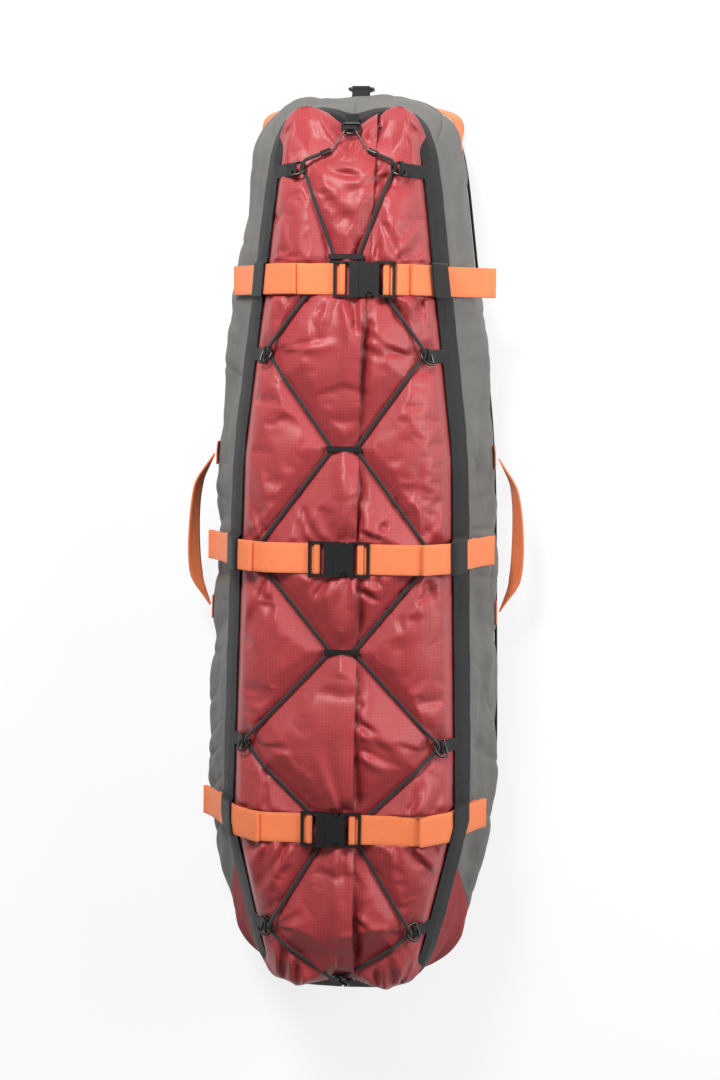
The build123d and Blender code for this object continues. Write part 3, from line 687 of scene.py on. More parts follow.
def press_cloth(points, pinned, fullness):
    """Cloth held at pinned points, with spare size and air pressure under it, left to settle."""
    rows, columns = points.shape[:2]
    mesh = bpy.data.meshes.new("cover_cloth")
    mesh.from_pydata(points.reshape(-1, 3), [], grid_faces(rows, columns))
    cloth_piece = bpy.data.objects.new("cover_cloth", mesh)
    bpy.context.collection.objects.link(cloth_piece)
    group = cloth_piece.vertex_groups.new(name="held")
    group.add(np.flatnonzero(pinned.ravel()).tolist(), 1.0, "REPLACE")
    cloth = cloth_piece.modifiers.new("cloth", "CLOTH")
    settings = dict(
        vertex_group_mass="held", quality=5, mass=0.15, tension_stiffness=12, compression_stiffness=8,
        shear_stiffness=4, bending_stiffness=0.6, shrink_min=-fullness, shrink_max=-fullness,
        use_pressure=True, uniform_pressure_force=2.4, air_damping=3,
    )
    for key, value in settings.items():
        setattr(cloth.settings, key, value)
    cloth.settings.effector_weights.gravity = 0
    cloth.collision_settings.use_collision = False
    scene = bpy.context.scene
    frames = 20
    for number in range(1, frames + 1):
        scene.frame_set(number)
    shaped = cloth_piece.evaluated_get(bpy.context.evaluated_depsgraph_get()).to_mesh()
    found = np.empty(len(shaped.vertices) * 3)
    shaped.vertices.foreach_get("co", found)
    scene.frame_set(1)
    bpy.data.objects.remove(cloth_piece)
    return found.reshape(points.shape)


def lap_line(y):
    """Plan place of the left flap's edge: 24 mm right of the middle, swinging out to 42 mm at the nose."""
    return 0.024 + 0.018 * ease(clamp((np.asarray(y) - 0.25) / 0.35))


def slope(away, start, rate):
    """Height that rises at an even rate from a start."""
    return rate * np.clip(away - start, 0, None)


def fold_starts(seed):
    """Places, directions, lengths, widths and heights of the cover's folds: fans off both edges of each
    strap, pulls from each ring to the middle, gathers off the rim at the nose and the tail, and slanting
    folds that run from the lap to the right."""
    random = np.random.default_rng(seed)
    rows = []

    def fold(x, y, turn, *spans):
        rows.append((x, y, turn, *(random.uniform(*span) for span in spans)))

    for _, place, *_ in STRAPS:
        half = float(rim_half(place * MM))
        for way in (-1, 1):
            for over in np.linspace(-0.82, 0.82, 15) + random.uniform(-0.05, 0.05, 15):
                turn = way * np.pi / 2 + random.normal(0, 0.32) - way * 0.45 * over
                start = place * MM + way * STRAP_HALF
                fold(over * half, start, turn, (0.05, 0.15), (0.007, 0.013), (0.004, 0.011))
    for apex, place in RING_APEX:
        for _, sign in SIDES:
            for turn in random.uniform(-1.1, 1.1, 5) + (0 if sign < 0 else np.pi):
                fold(sign * apex * MM, place * MM, turn, (0.06, 0.13), (0.006, 0.011), (0.004, 0.009))
    for end, way in ((NOSE[RIM] - 0.03, -1), (TAIL[RIM] + 0.02, 1)):
        for over in np.linspace(-0.11, 0.11, 14) + random.uniform(-0.006, 0.006, 14):
            turn = way * np.pi / 2 + random.normal(0, 0.25)
            fold(over, end, turn, (0.05, 0.12), (0.006, 0.010), (0.004, 0.010))
    for along in random.uniform(-0.66, 0.60, 26):
        turn = random.normal(-0.65, 0.3)
        fold(float(lap_line(along)) + 0.004, along, turn, (0.05, 0.12), (0.006, 0.011), (0.005, 0.010))
    return rows


def fold_field(x, y, seed):
    """Sum of tapering folds: each a bell-shaped crest with a shallower trough on one side, fading in at
    its start and out along its length."""
    total = np.zeros_like(x)
    for number, (start_x, start_y, turn, length, width, height) in enumerate(fold_starts(seed)):
        cos, sin = math.cos(turn), math.sin(turn)
        share = ((x - start_x) * cos + (y - start_y) * sin) / length
        lean = 1 if number % 2 else -1
        broad = width * (0.7 + 0.6 * clamp(share))
        across = ((y - start_y) * cos - (x - start_x) * sin) * lean / broad
        window = clamp(share / 0.12) * clamp(1 - share) ** 0.8
        total += height * window * (bell(across, 1) - 0.7 * bell(across - 1.25, 0.8))
    return total


def between(grid, columns):
    """Values of a grid at fractional columns of each row, by straight interpolation."""
    low = np.clip(columns.astype(int), 0, grid.shape[1] - 2)
    part = (columns - low)[..., None]
    rows = np.arange(len(grid))[:, None]
    return grid[rows, low] * (1 - part) + grid[rows, low + 1] * part


class BAG_OT_cover(bpy.types.Operator):
    """Settle the cover's two flaps under the straps and the cord"""
    bl_idname = "load_bag.cover"
    bl_label = "Cover"

    def execute(self, context):
        sizes = context.scene.bag_sizes
        step = sizes.cloth_step * 1
        x, y = cover_grid(step)
        base = soft_top(x, y) + COVER_RISE
        strap, under = strap_height(x, y)
        away, cord_z = cord_distance(x, y, whole_route())
        fitting = fitting_distance(x, y)
        places = np.array([row[1] for row in STRAPS[::-1]]) * MM
        lift = np.interp(y, (TAIL[RIM], *places, NOSE[RIM]), SWELL)
        edge = clamp((rim_half(y) - np.abs(x)) / RIM_EASE)
        ends = clamp(np.minimum(NOSE[RIM] - y, y - TAIL[RIM]) / END_EASE)
        z = base + lift * np.sqrt(edge * ends) * (1 - bell(fitting, FITTING_EASE))
        groove = bell(away, GROOVE)
        z = np.minimum(z, z * (1 - groove) + (cord_z - UNDER_CORD) * groove)
        z = np.where(under > 0, np.maximum(strap - UNDER_STRAP, base), z)
        border = np.zeros(x.shape, bool)
        border[[0, -1]] = True
        border[:, [0, -1]] = True
        free = ~border & (under == 0)
        wobble = noise(x / 0.06, y / 0.06, 3) + 0.4 * noise(x / 0.03, y / 0.03, 4)
        z = np.where(border, Z[RIM] - UNDER_RIM, z) + np.where(free, wobble * WOBBLE, 0)
        points = nose_notch(np.stack([x, y, z], -1))
        pinned = border | (under > 0) | (away < 0.8 * step) | (fitting < FITTING_HOLD)
        points = press_cloth(points, pinned, sizes.fullness)
        points = self.fold(points, x, y, free)
        points = self.overhang(points, x, y)
        points = self.held_down(points, away, cord_z, fitting)
        self.flaps(points, x, y, away)
        return {"FINISHED"}

    def fold(self, points, x, y, free):
        """Folds that run off the straps, the rings and the gathered ends."""
        ends = np.minimum(NOSE[RIM] - y, y - TAIL[RIM])
        held = clamp(np.minimum(strap_gap(y) / 0.008, ends / 0.01)) * free
        return points + (1.25 * fold_field(x, y, FOLD_SEED) * held)[..., None] * UP

    def overhang(self, points, x, y):
        """Ears of spare cloth that bulge over the tape at both corners of the nose, and gathers that hang
        over it along the tail."""
        side = np.sign(x)
        ear_y, hang_y = 0.60, -0.68
        near = clamp((y - ear_y) / (NOSE[RIM] - ear_y))
        ear = bell(np.abs(x) - 0.072, 0.030) * np.sin(np.pi * near**1.6) ** 0.7
        back = clamp((hang_y - y) / (hang_y - TAIL[RIM]))
        hang = np.sin(np.pi * back**1.6) ** 0.7 * (0.75 + 0.35 * noise(x / 0.022, y / 0.2, 14))
        hang = hang * np.exp(-(x / 0.092) ** 6)
        inner = clamp((rim_half(y) - np.abs(x)) / 0.03) ** 0.5
        return points + np.stack([
            side * 0.002 * ear,
            0.030 * ear - 0.026 * hang * inner,
            0.012 * ear + 0.004 * hang * inner,
        ], -1)

    def held_down(self, points, away, cord_z, fitting):
        """Cloth kept under the cord, the fittings and the tape, with slopes that rise away from them."""
        x, y, z = np.moveaxis(points, -1, 0)
        tape_nose, tape_tail, free_rise = 0.700, -0.744, 0.05
        cord_top = cord_z - 0.0036 + slope(away, start=0.0035, rate=0.6)
        ring_top = soft_top(x, y) + 0.002 + slope(fitting, start=0.015, rate=0.8)
        ends = clamp(np.minimum(tape_nose - y, y - tape_tail) / 0.02)
        tape_top = top_height(x, y) - 0.001 + slope(rim_half(y) - np.abs(x), start=0.013, rate=2.2)
        tape_top = tape_top + free_rise * (1 - ends)
        return np.stack([x, y, np.minimum(np.minimum(z, cord_top), np.minimum(ring_top, tape_top))], -1)

    def flaps(self, points, x, y, away):
        """The two flaps: the left one laps over the right, a soft roll along its edge and a dip beside it."""
        clip = np.abs(y[..., None] - np.array(CLIP_PLACES) * MM).min(-1)
        open_up = clamp(strap_gap(y) / 0.03) * clamp((clip - 0.008) / 0.03)
        open_up = open_up * clamp((away - 0.005) / 0.025) * (0.8 + 0.35 * noise(y / 0.05, x * 0, 15))
        past = x - lap_line(y)
        roll = 0.0014 + open_up * (0.009 * bell(past + 0.020, 0.015)
                                   + 0.004 * clamp(1 + past / 0.02) ** 2)
        dip = 0.015 * open_up * bell(past - 0.003, 0.012)
        left = points + (roll * clamp(1 + past / 0.07))[..., None] * UP
        right = points - dip[..., None] * UP
        flat = np.stack([x, y], -1)
        count = x.shape[1]
        lap = 0.035
        edge, under = np.array([
            [np.interp(place - back, row, np.arange(count)) for place, row in zip(lap_line(y[:, 0]), x)]
            for back in (0, lap)
        ])[..., None]
        share = np.linspace(0, 1, count * 6 // 10)[None]
        for side, cloth, columns in (
            ("left", left, edge * share),
            ("right", right, under + (count - 1 - under) * share),
        ):
            spread = between(flat, columns)
            piece = grid_piece(f"cover_{side}", between(cloth, columns), spread, "red_ripstop", levels=1)
            dress(piece, "red_cover", f"cover_flap_{side}")


# Walls

def crease(points, normal, amount, seed):
    """Soft dents, upright creases and slanting folds pushed along the surface normal, fading out at the
    seams, the rim and the handle patches."""
    along = arc_length(points[0])[None, :] * np.ones(points.shape[0])[:, None]
    up = points[..., 2]
    dents = noise(along / 0.12, up / 0.09, seed) + 0.5 * noise(along / 0.045, up / 0.12, seed + 1)
    folds = noise(along / 0.022 + up / 0.25, up / 0.16, seed + 2)
    tape_edge = 0.184
    free = clamp(np.minimum(up - Z[0], tape_edge - up) / 0.045)
    run = np.cumsum(np.linalg.norm(np.diff(points, axis=1, prepend=points[:, :1]), axis=-1), axis=1)
    free = free * clamp(np.minimum(run, run[:, -1:] - run) / 0.05)
    for patch in HANDLE_PATCHES:
        free = free * clamp(np.hypot(points[..., 1] - patch, up - HANDLE_Z) / 0.03 - 0.8)
    pulls = (1 - np.abs(noise(along / 0.05 - up / 0.12, up / 0.3 + along / 0.4, seed + 3))) ** 4
    slants = noise(along / 0.15 + up / 0.09, up / 0.034 - along / 0.22, seed + 4)
    total = dents + 0.2 * folds + 0.8 * pulls + 1.2 * slants
    return points + normal * (total * amount * free)[..., None]


def surface_normal(points):
    """Unit normal of a grid: its step along the rows crossed with its step along the columns."""
    return unit(np.cross(np.gradient(points, axis=0), np.gradient(points, axis=1)))


def wall_rows(count=52):
    """The whole right side of the tub: rows from the base seam to the rim, with a rounded belly."""
    return nose_notch(smooth(shell(np.linspace(0, RIM, count)), 9))


def wall_uv(points):
    """Flat places on a wall: way along it at mid height, and height."""
    return np.stack(np.broadcast_arrays(arc_length(points[20])[None], points[..., 2]), -1)


def cut_rows(points, start, end, count):
    """Each row of a grid resampled between two places along it, given per row as shares of its length."""
    shares = np.linspace(0, 1, points.shape[1])
    wanted = start[:, None] + (end - start)[:, None] * np.linspace(0, 1, count)[None]
    return np.stack([
        np.stack([np.interp(wanted[row], shares, points[row, :, axis]) for axis in range(3)], -1)
        for row in range(len(points))
    ])


class BAG_OT_walls(bpy.types.Operator):
    """Build the side walls, the tail panel, the base and its piped seam"""
    bl_idname = "load_bag.walls"
    bl_label = "Walls, tail and base"

    def execute(self, context):
        rows = wall_rows()
        shares = np.linspace(0, 1, rows.shape[1])
        seam_top, seam_slope = -0.520, 160 / 145
        seam_y = seam_top - (Z[RIM] - rows[:, 0, 2]) * seam_slope
        seam = np.array([np.interp(-seam_y[row], -rows[row, :, 1], shares) for row in range(len(rows))])
        seam = np.minimum(seam, 0.985)
        side = cut_rows(rows, np.zeros(len(rows)), seam, 420)
        tail = cut_rows(rows, seam, np.ones(len(rows)), 110)
        for name, sign in SIDES:
            points = crease(side, -surface_normal(side), 0.0056, 11 if sign > 0 else 23) * (sign, 1, 1)
            piece = grid_piece(f"grey_wall_{name}", points, wall_uv(side), "grey_coated_cloth", sign < 0,
                               WALL_CLOTH)
            dress(piece, "grey_wall", f"wall_{name}")
        right = crease(tail, -surface_normal(tail), 0.0048, 31)
        whole = np.concatenate([right, (right * MIRROR)[:, -2::-1]], 1)
        piece = grid_piece("red_tail_panel", whole, wall_uv(whole), "red_tail_cloth", thickness=WALL_CLOTH)
        dress(piece, "red_tail", "tail_panel")
        self.base()
        return {"FINISHED"}

    def base(self):
        """Base: the lowest outline drawn out a little and spanned from side to side, with a tube as piping
        just outside it."""
        outwards = (1, 0.25)
        hem, piping_out, piping_z, piping_radius = 0.003, 0.0035, 0.0027, 0.0026
        line = OUTLINES[0] + hem * unit(OUTLINES[0] * outwards)
        share = np.linspace(-1, 1, 31)
        flat = line[:, None] * np.stack([share, np.ones_like(share)], -1)[None]
        points = np.concatenate([flat, np.full(flat.shape[:2] + (1,), Z[0])], -1)
        piece = grid_piece("base_sheet", points, flat, "grey_coated_cloth", thickness=0.0039)
        dress(piece, "grey_wall", "base_panel")
        loop = np.concatenate([line, (line * (-1, 1))[-2:0:-1], line[:1]])
        path = np.concatenate([loop, np.full((len(loop), 1), piping_z)], -1)
        path[:, :2] += piping_out * unit(path[:, :2] * outwards)
        piece = tube("piping", path[::2], piping_radius, "tape_weave")
        dress(piece, "black_webbing", "seam_piping")


class BAG_OT_tape(bpy.types.Operator):
    """Fold the edge tape over the rim"""
    bl_idname = "load_bag.tape"
    bl_label = "Edge tape"

    def execute(self, context):
        outer, upper = TAPE_FACES
        heights = np.concatenate([np.linspace(*outer, 8), np.linspace(*upper, 7)]) * MM
        stand_off, ripple_height = 0.0022, 0.0006
        points = nose_notch(smooth(shell(level_share(heights), stand_off), 3))
        widths = arc_length(points[:, 300])
        across = widths - widths[-1] / 2
        ripple = noise(arc_length(points[0])[None] / 0.03, np.zeros((len(points), 1)), 7)
        points = points + surface_normal(points) * -(ripple_height * ripple)[..., None]
        for name, sign in SIDES:
            uv = np.stack(np.broadcast_arrays(arc_length(points[5])[None], across[:, None]), -1)
            piece = grid_piece(f"rim_tape_{name}", points * (sign, 1, 1), uv, "tape_weave", sign < 0,
                               TAPE_CLOTH)
            dress(piece, "black_webbing", f"edge_tape_{name}")
        return {"FINISHED"}


# Straps

def strap_line(y, rise, sign, start_x):
    """Middle line of one half of a strap in its own plane, from the buckle over the rim to the wall."""
    z, inset, _, _ = grown(rise)
    half = plan_half(y) - inset
    low = 0.150
    wall = np.interp(low, (z[BELLY], z[RIM]), (half[BELLY], half[RIM]))
    over = [(sign * half[level], z[level]) for level in (CROWN, SHOULDER, RIM)]
    line = resample([(start_x, z[CROWN]), *over, (sign * wall, low)], 0.002)
    return smooth(smooth(line, 13), 9)


def in_plane(line, y):
    """Points of a flat line of (x, z), set at one place along the bag."""
    return np.stack([line[:, 0], np.full(len(line), y), line[:, 1]], -1)


def offset_line(line, sign, amount):
    """Line moved outwards along its own normal."""
    along = unit(np.gradient(line, axis=0))
    normal = np.stack([-along[:, 1], along[:, 0]], -1) * sign
    return line + normal * np.reshape(amount, (-1, 1))


class BAG_OT_straps(bpy.types.Operator):
    """Lay the straps over the cover, with their spare ends folded and held by keepers"""
    bl_idname = "load_bag.straps"
    bl_label = "Straps and keepers"

    def execute(self, context):
        sizes = context.scene.bag_sizes
        for name, place, buckle, spare, rise, flare, ends in STRAPS:
            y = place * MM
            for index, (side, sign) in enumerate(SIDES):
                line = strap_line(y, np.array(rise) + 1.0, sign, buckle * MM + sign * BAR_REACH)
                turn = BAR_TURN * (sign, 1) + (buckle * MM, line[0, 1])
                sewn_z = 0.168
                path = np.concatenate([smooth(resample(turn, 0.0008), 3), line[line[:, 1] > sewn_z]])
                piece = webbing(f"strap_{name}_{side}_web", in_plane(path, y), AHEAD, sizes.strap_width,
                                sizes.webbing_thickness, "strap_weave")
                dress(piece, "orange_webbing", f"strap_{name}_{side}")
                self.spare(name, side, sign, y, line, spare[index] * MM, flare[index] * MM, ends[index] * MM)
                self.keeper(name, side, sign, y, line, flare[index] * MM)
        for side, _ in SIDES:
            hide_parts(f"keepers_{side}")
        return {"FINISHED"}

    def spare(self, name, side, sign, y, line, inner, flare, end):
        """Spare webbing: out along the strap, round a bight at the wall, back and round at the cover."""
        sizes = bpy.context.scene.bag_sizes
        low = line[(line[:, 0] - inner) * sign > 0]
        low = low[low[:, 1] > end]
        slope = (low[-1] - low[-6]) / (low[-1, 1] - low[-6, 1])
        tail_z = np.linspace(low[-1, 1], end, 16)[1:]
        low = np.concatenate([low, np.stack([low[-1, 0] + slope[0] * (tail_z - low[-1, 1]), tail_z], -1)])
        way = arc_length(low)
        flare_length = 0.085
        reach = clamp((way - way[-1] + flare_length) / flare_length) ** 1.6
        low = low + np.stack([sign * reach, 0.25 * reach], -1) * flare
        open_up = 0.0026 + 0.0052 * (np.exp(-way / 0.010) + np.exp(-(way[-1] - way) / 0.012))
        lift = 0.0024
        lower = offset_line(low, sign, lift)
        upper = offset_line(low, sign, lift + open_up)
        loop = smooth(resample(np.concatenate([lower, upper[::-1], lower[:1]]), 0.0012), 5)
        piece = webbing(f"spare_{name}_{side}", in_plane(loop, y), AHEAD, sizes.strap_width - 0.001,
                        sizes.webbing_thickness, "strap_weave")
        dress(piece, "orange_webbing", f"stowed_tail_{name}_{side}")

    def keeper(self, name, side, sign, y, line, flare):
        """Keeper: webbing sewn flat on the tape at both ends and lifted over the strap and its spare end,
        where each place across it takes the height of the strap's outer line at the same plan place."""
        half_length, half_hump, low_edge, high_edge, stand_off = 0.063, 0.0305, 0.183, 0.227, 0.0035
        run = np.linspace(-half_length, half_length, 127)[None]
        height = np.linspace(low_edge, high_edge, 13)[:, None]
        inset = np.interp(height, Z, INSET)
        hump = ease(clamp((half_hump - np.abs(run)) / 0.004))
        outer = offset_line(line, sign, 0.0082)
        place = plan_half(y + run) - inset + stand_off
        over = np.interp(place - flare * 0.12, np.abs(outer[:, 0]), outer[:, 1]) + 0.0005
        low = height + 0.003 + 0 * run
        across, along = np.broadcast_arrays((height - Z[RIM]) * 0.5, run)
        points = np.stack([sign * place, y + along, low + hump * (over - low)], -1)
        piece = grid_piece(f"keeper_{name}_{side}", points, np.stack([along, across], -1), "tape_weave",
                           sign < 0, TAPE_CLOTH)
        dress(piece, "black_webbing")


# Cord, tabs, handles and nose

class BAG_OT_cord(bpy.types.Operator):
    """Lace the shock cord through the rings"""
    bl_idname = "load_bag.cord"
    bl_label = "Shock cord"

    def execute(self, context):
        sizes = context.scene.bag_sizes
        path = smooth(smooth(resample(whole_route(), 0.0012), 7), 5)
        piece = tube("shock_cord_braid", path, sizes.cord_diameter / 2, "black_braid")
        dress(piece, "black_cord", "shock_cord")
        return {"FINISHED"}


class BAG_OT_tabs(bpy.types.Operator):
    """Sew the ring tabs to the cover"""
    bl_idname = "load_bag.tabs"
    bl_label = "Ring tabs"

    def execute(self, context):
        for side, sign in SIDES:
            first = None
            for number, (apex, y) in enumerate(RING_APEX):
                bar = np.array((sign * (apex + 18.5), y)) * MM
                end = np.array((sign * (rim_half(y * MM) - 0.004), y * MM))
                piece = self.tab(f"ring_tab_{side}_{number}", bar, end, AHEAD)
                first = first or piece
            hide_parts(f"ring_tabs_{side}")
        for name, bar, end in END_TABS:
            piece = self.tab(f"ring_tab_{name}_web", np.array((0, bar)), np.array((0, end)), RIGHT)
            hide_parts(f"ring_tab_{name}")
        return {"FINISHED"}

    def tab(self, name, bar, end, across):
        """Webbing doubled round a ring's bar: up from the rim over the cover, round the bar and back."""
        out = unit(end - bar)
        share = np.linspace(0, 1, 30)[:, None]
        run = bar + (end - bar) * share
        width, thickness, gap, radius = 0.0215, 0.0016, 0.0026, 0.0033
        low = top_height(run[:, 0], run[:, 1]) + 0.0055
        low = low + clamp(1 - share[:, 0] * 2.2) ** 1.5 * 0.0065
        lower = np.concatenate([run, low[:, None]], 1)[::-1]
        upper = np.concatenate([run, (low + gap)[:, None]], 1)
        turn = np.linspace(-90, 90, 9)[1:-1] * np.pi / 180
        height = lower[-1, 2] + gap / 2 + thickness + radius * np.sin(turn)
        bow = np.concatenate([bar - out * radius * np.cos(turn)[:, None], height[:, None]], 1)
        path = smooth(resample(np.concatenate([lower, bow, upper]), 0.001), 5)
        return dress(webbing(name, path, across, width, thickness, "tape_weave"), "black_webbing")


def joint_row(name):
    """Row of the frame's joint of that name."""
    return next(row for row in frame["joints"] if row["name"] == name)


class BAG_OT_handles(bpy.types.Operator):
    """Hang the carry handles on their sewn patches"""
    bl_idname = "load_bag.handles"
    bl_label = "Carry handles"

    def execute(self, context):
        sizes = context.scene.bag_sizes
        for side, sign in SIDES:
            joint = joint_row(f"carry_handle_{side}")
            along = np.array(joint["axis"]) * -sign
            out = np.cross(along, UP) * sign
            route = along * (HANDLE_BEND[:, :1] * HANDLE_SPAN) + out * (HANDLE_BEND[:, 1:] * sizes.handle_bow)
            route = joint["pos_m"] + route
            path = smooth(resample(nurbs_points(route, 24), 0.003), 7)
            share = np.linspace(-1, 1, len(path))
            twist = (0.74 + 0.26 * np.sin(share * 2.6 + 0.4 * sign)) * (1 - share**4)
            across = np.stack([np.sin(twist) * sign, np.zeros(len(path)), np.cos(twist)], -1)
            width = sizes.narrow_width * clamp(0.22 + 1.75 * (1 - np.abs(share)))
            piece = self.band(f"handle_{side}_web", path, across, width, 0.0026)
            dress(piece, "orange_webbing", f"carry_handle_{side}", body=joint["child"])
            first = None
            for number, y in enumerate(HANDLE_PATCHES):
                patch = self.patch(f"handle_patch_{side}_{number}", sign, y)
                first = first or patch
            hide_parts(f"handle_patches_{side}")
        return {"FINISHED"}

    def band(self, name, path, across, width, thickness):
        """Webbing whose width changes along its path."""
        along = unit(np.gradient(path, axis=0))
        across = unit(across - along * np.sum(across * along, -1, keepdims=True))
        normal = np.cross(across, along)
        profile = webbing_profile(1.0, thickness)
        profile[:, 0] = np.clip(profile[:, 0], -0.5, 0.5)
        return profile_piece(name, path, across * width[:, None], normal, profile, "orange_narrow_webbing")

    def patch(self, name, sign, y):
        """Square of webbing sewn flat on the wall."""
        sizes = bpy.context.scene.bag_sizes
        run = np.linspace(-0.02, 0.02, 21) + y
        out = plan_half(run) - np.interp(HANDLE_Z, Z, INSET) + 0.0010
        path = np.stack([sign * out, run, np.full(len(run), HANDLE_Z)], -1)
        piece = webbing(name, path, UP, sizes.narrow_width, sizes.webbing_thickness, "orange_narrow_webbing",
                        RIGHT * sign)
        return dress(piece, "orange_webbing")


class BAG_OT_nose(bpy.types.Operator):
    """Sew the grab strap and the tow loop to the nose"""
    bl_idname = "load_bag.nose"
    bl_label = "Nose straps"

    def execute(self, context):
        self.grab_strap(context.scene.bag_sizes)
        self.tow_loop()
        return {"FINISHED"}

    def grab_strap(self, sizes):
        """Webbing round the nose on a level of the wall, pushed out by bells of slack at both corners and
        right of the middle, and leaning back at the corners."""
        height, sewn_y, corner_y = 0.0265, 0.652, 0.712
        half = shell(level_share(height), 0.0028)[0]
        half = half[half[:, 1] > sewn_y]
        path = np.concatenate([(half * MIRROR)[:0:-1], half])
        slack = 0.014 * bell(path[:, 1] - corner_y, 0.020)
        slack = slack + 0.007 * bell(path[:, 0] - 0.035, 0.016)
        along = unit(np.gradient(path, axis=0))
        path = path + np.cross(UP, along) * slack[:, None]
        lean = 0.7 * bell(path[:, 1] - corner_y, 0.028)[:, None]
        across = np.cos(lean) * UP - np.sin(lean) * unit(path * (1, 1, 0) - (0, 0.6, 0))
        piece = webbing("grab_strap", path[::2], across[::2], sizes.narrow_width, sizes.webbing_thickness,
                        "orange_narrow_webbing", AHEAD)
        dress(piece, "orange_webbing", "nose_grab_strap")

    def tow_loop(self):
        """Webbing sewn to the wall above and below the tow ring's bar and turned round it in an arc."""
        _, bar_y, bar_z = joint_row("tow_ring")["pos_m"]
        wall, sewn, root, radius, stand_off = 0.7544, 0.016, 0.0065, 0.0038, 0.0004
        angles = np.linspace(-120, 120, 25) * np.pi / 180
        eye = np.stack([bar_y + radius * np.cos(angles), bar_z + radius * np.sin(angles)], -1)
        below = [(wall, bar_z - sewn), (wall + stand_off, bar_z - root)]
        above = [(wall + stand_off, bar_z + root), (wall, bar_z + sewn)]
        line = smooth(resample(np.concatenate([below, eye, above]), 0.0006), 5)
        path = np.concatenate([np.zeros((len(line), 1)), line], 1)
        piece = webbing("tow_loop_web", path, RIGHT, 0.030, TAPE_CLOTH, "tape_weave")
        dress(piece, "black_webbing", "tow_loop")


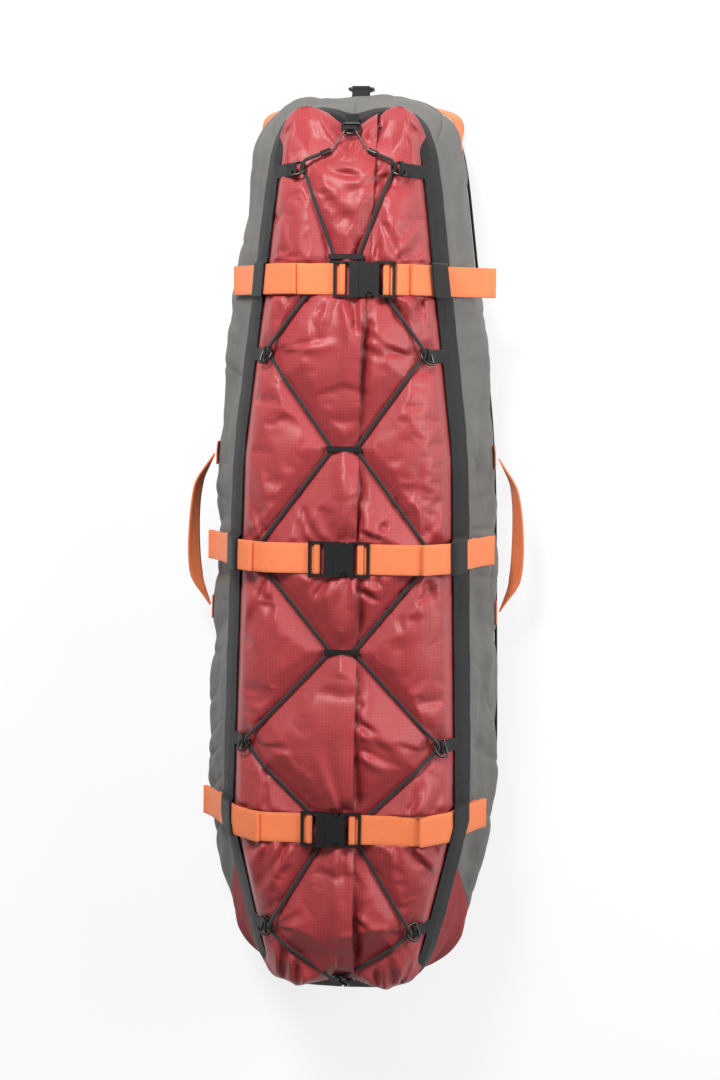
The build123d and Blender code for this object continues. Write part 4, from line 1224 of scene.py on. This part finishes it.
class BAG_OT_stage(bpy.types.Operator):
    """Set the floor, the light and the camera"""
    bl_idname = "load_bag.stage"
    bl_label = "Stage"

    def execute(self, context):
        scene = context.scene
        scene.view_settings.view_transform = "Standard"
        world = bpy.data.worlds.new("studio")
        scene.world = world
        world.use_nodes = True
        tree = world.node_tree
        back = tree.nodes["Background"]
        rays = tree.nodes.new("ShaderNodeLightPath")
        seen = tree.nodes.new("ShaderNodeMath")
        seen.operation = "MAXIMUM"
        tree.links.new(rays.outputs["Is Camera Ray"], seen.inputs[0])
        tree.links.new(rays.outputs["Is Transmission Ray"], seen.inputs[1])
        level = tree.nodes.new("ShaderNodeMapRange")
        level.inputs["To Min"].default_value = 0.22
        level.inputs["To Max"].default_value = 1.0
        tree.links.new(seen.outputs[0], level.inputs["Value"])
        tree.links.new(level.outputs[0], back.inputs["Strength"])
        back.inputs["Color"].default_value = (1, 1, 1, 1)
        self.floor()
        self.lamp("key", (-0.8, 2.2, 2.3), (0, 0.1, 0.2), 1.0, 122)
        self.lamp("fill_left", (-2.4, -0.6, 2.2), (0, 0, 0.15), 2.0, 6)
        self.lamp("fill_right", (2.6, 0.7, 1.5), (0, 0.2, 0.15), 1.6, 74)
        self.camera(scene)
        return {"FINISHED"}

    def floor(self):
        """A flat pale floor, mostly white to the camera."""
        nodes = Nodes("pale_floor")
        nodes.surface((0.9, 0.9, 0.9, 1), Roughness=0.9)
        rays = nodes.add("ShaderNodeLightPath")
        white = nodes.add("ShaderNodeEmission")
        blend = nodes.add("ShaderNodeMixShader")
        seen = nodes.maths("MAXIMUM", rays.outputs["Is Camera Ray"], rays.outputs["Is Glossy Ray"])
        shares = (nodes.maths("MULTIPLY", seen, 0.8), nodes.shader.outputs[0], white.outputs[0])
        for place, socket in enumerate(shares):
            nodes.link(socket, blend.inputs[place])
        nodes.link(blend.outputs[0], nodes.tree.nodes["Material Output"].inputs["Surface"])
        grid = np.linspace(-6, 6, 3)
        points = np.stack(np.meshgrid(grid, grid, (0.0,), indexing="xy"), -1)[:, :, 0]
        floor = grid_piece("floor", points - (0, 0, 0.0005), points[..., :2], "pale_floor")

    def lamp(self, name, place, target, size, energy):
        """A square lamp at a place, turned to its target."""
        lamp = bpy.data.lights.new(name, "AREA")
        lamp.size = size
        lamp.energy = energy
        holder = bpy.data.objects.new(name, lamp)
        holder.location = place
        aim = Vector(target) - Vector(place)
        holder.rotation_euler = aim.to_track_quat("-Z", "Y").to_euler()
        bpy.context.collection.objects.link(holder)

    def camera(self, scene):
        """The photograph's camera: over the bag, with the bag's length upright and a small tilt."""
        lens = bpy.data.cameras.new("camera")
        lens.lens = 62.3
        lens.sensor_width = 36
        lens.shift_x = 0.0069
        lens.clip_end = 50
        holder = bpy.data.objects.new("camera", lens)
        place = Vector((0.29, 0.351, 3.30))
        back = (place - Vector((0, 0.001, 0.12))).normalized()
        tilt = math.radians(0.7)
        level = Vector((0, 1, 0)).cross(back).normalized()
        upright = back.cross(level)
        right = level * math.cos(tilt) + upright * math.sin(tilt)
        up = back.cross(right)
        holder.matrix_world = Matrix.Translation(place) @ Matrix((right, up, back)).transposed().to_4x4()
        bpy.context.collection.objects.link(holder)
        scene.camera = holder


OPERATORS = (
    BAG_OT_finishes, BAG_OT_stage, BAG_OT_fittings, BAG_OT_cord, BAG_OT_cover, BAG_OT_walls, BAG_OT_tape,
    BAG_OT_straps, BAG_OT_tabs, BAG_OT_handles, BAG_OT_nose,
)


class BAG_PT_panel(bpy.types.Panel):
    """Buttons for each group of pieces"""
    bl_idname = "BAG_PT_panel"
    bl_label = "Load bag"
    bl_space_type = "VIEW_3D"
    bl_region_type = "UI"
    bl_category = "Load bag"

    def draw(self, context):
        for group in (context.scene.bag_sizes, context.scene.bag_colours):
            for name in group.__annotations__:
                self.layout.prop(group, name)
        for operator in OPERATORS:
            self.layout.operator(operator.bl_idname)


CLASSES = (BagColours, BagSizes, *OPERATORS, BAG_PT_panel)


def register():
    for item in CLASSES:
        bpy.utils.register_class(item)
    bpy.types.Scene.bag_colours = bpy.props.PointerProperty(type=BagColours)
    bpy.types.Scene.bag_sizes = bpy.props.PointerProperty(type=BagSizes)


def unregister():
    del bpy.types.Scene.bag_sizes
    del bpy.types.Scene.bag_colours
    for item in reversed(CLASSES):
        bpy.utils.unregister_class(item)


def main():
    register()
    for operator in OPERATORS:
        group, name = operator.bl_idname.split(".")
        getattr(getattr(bpy.ops, group), name)()


if __name__ == "__main__":
    main()
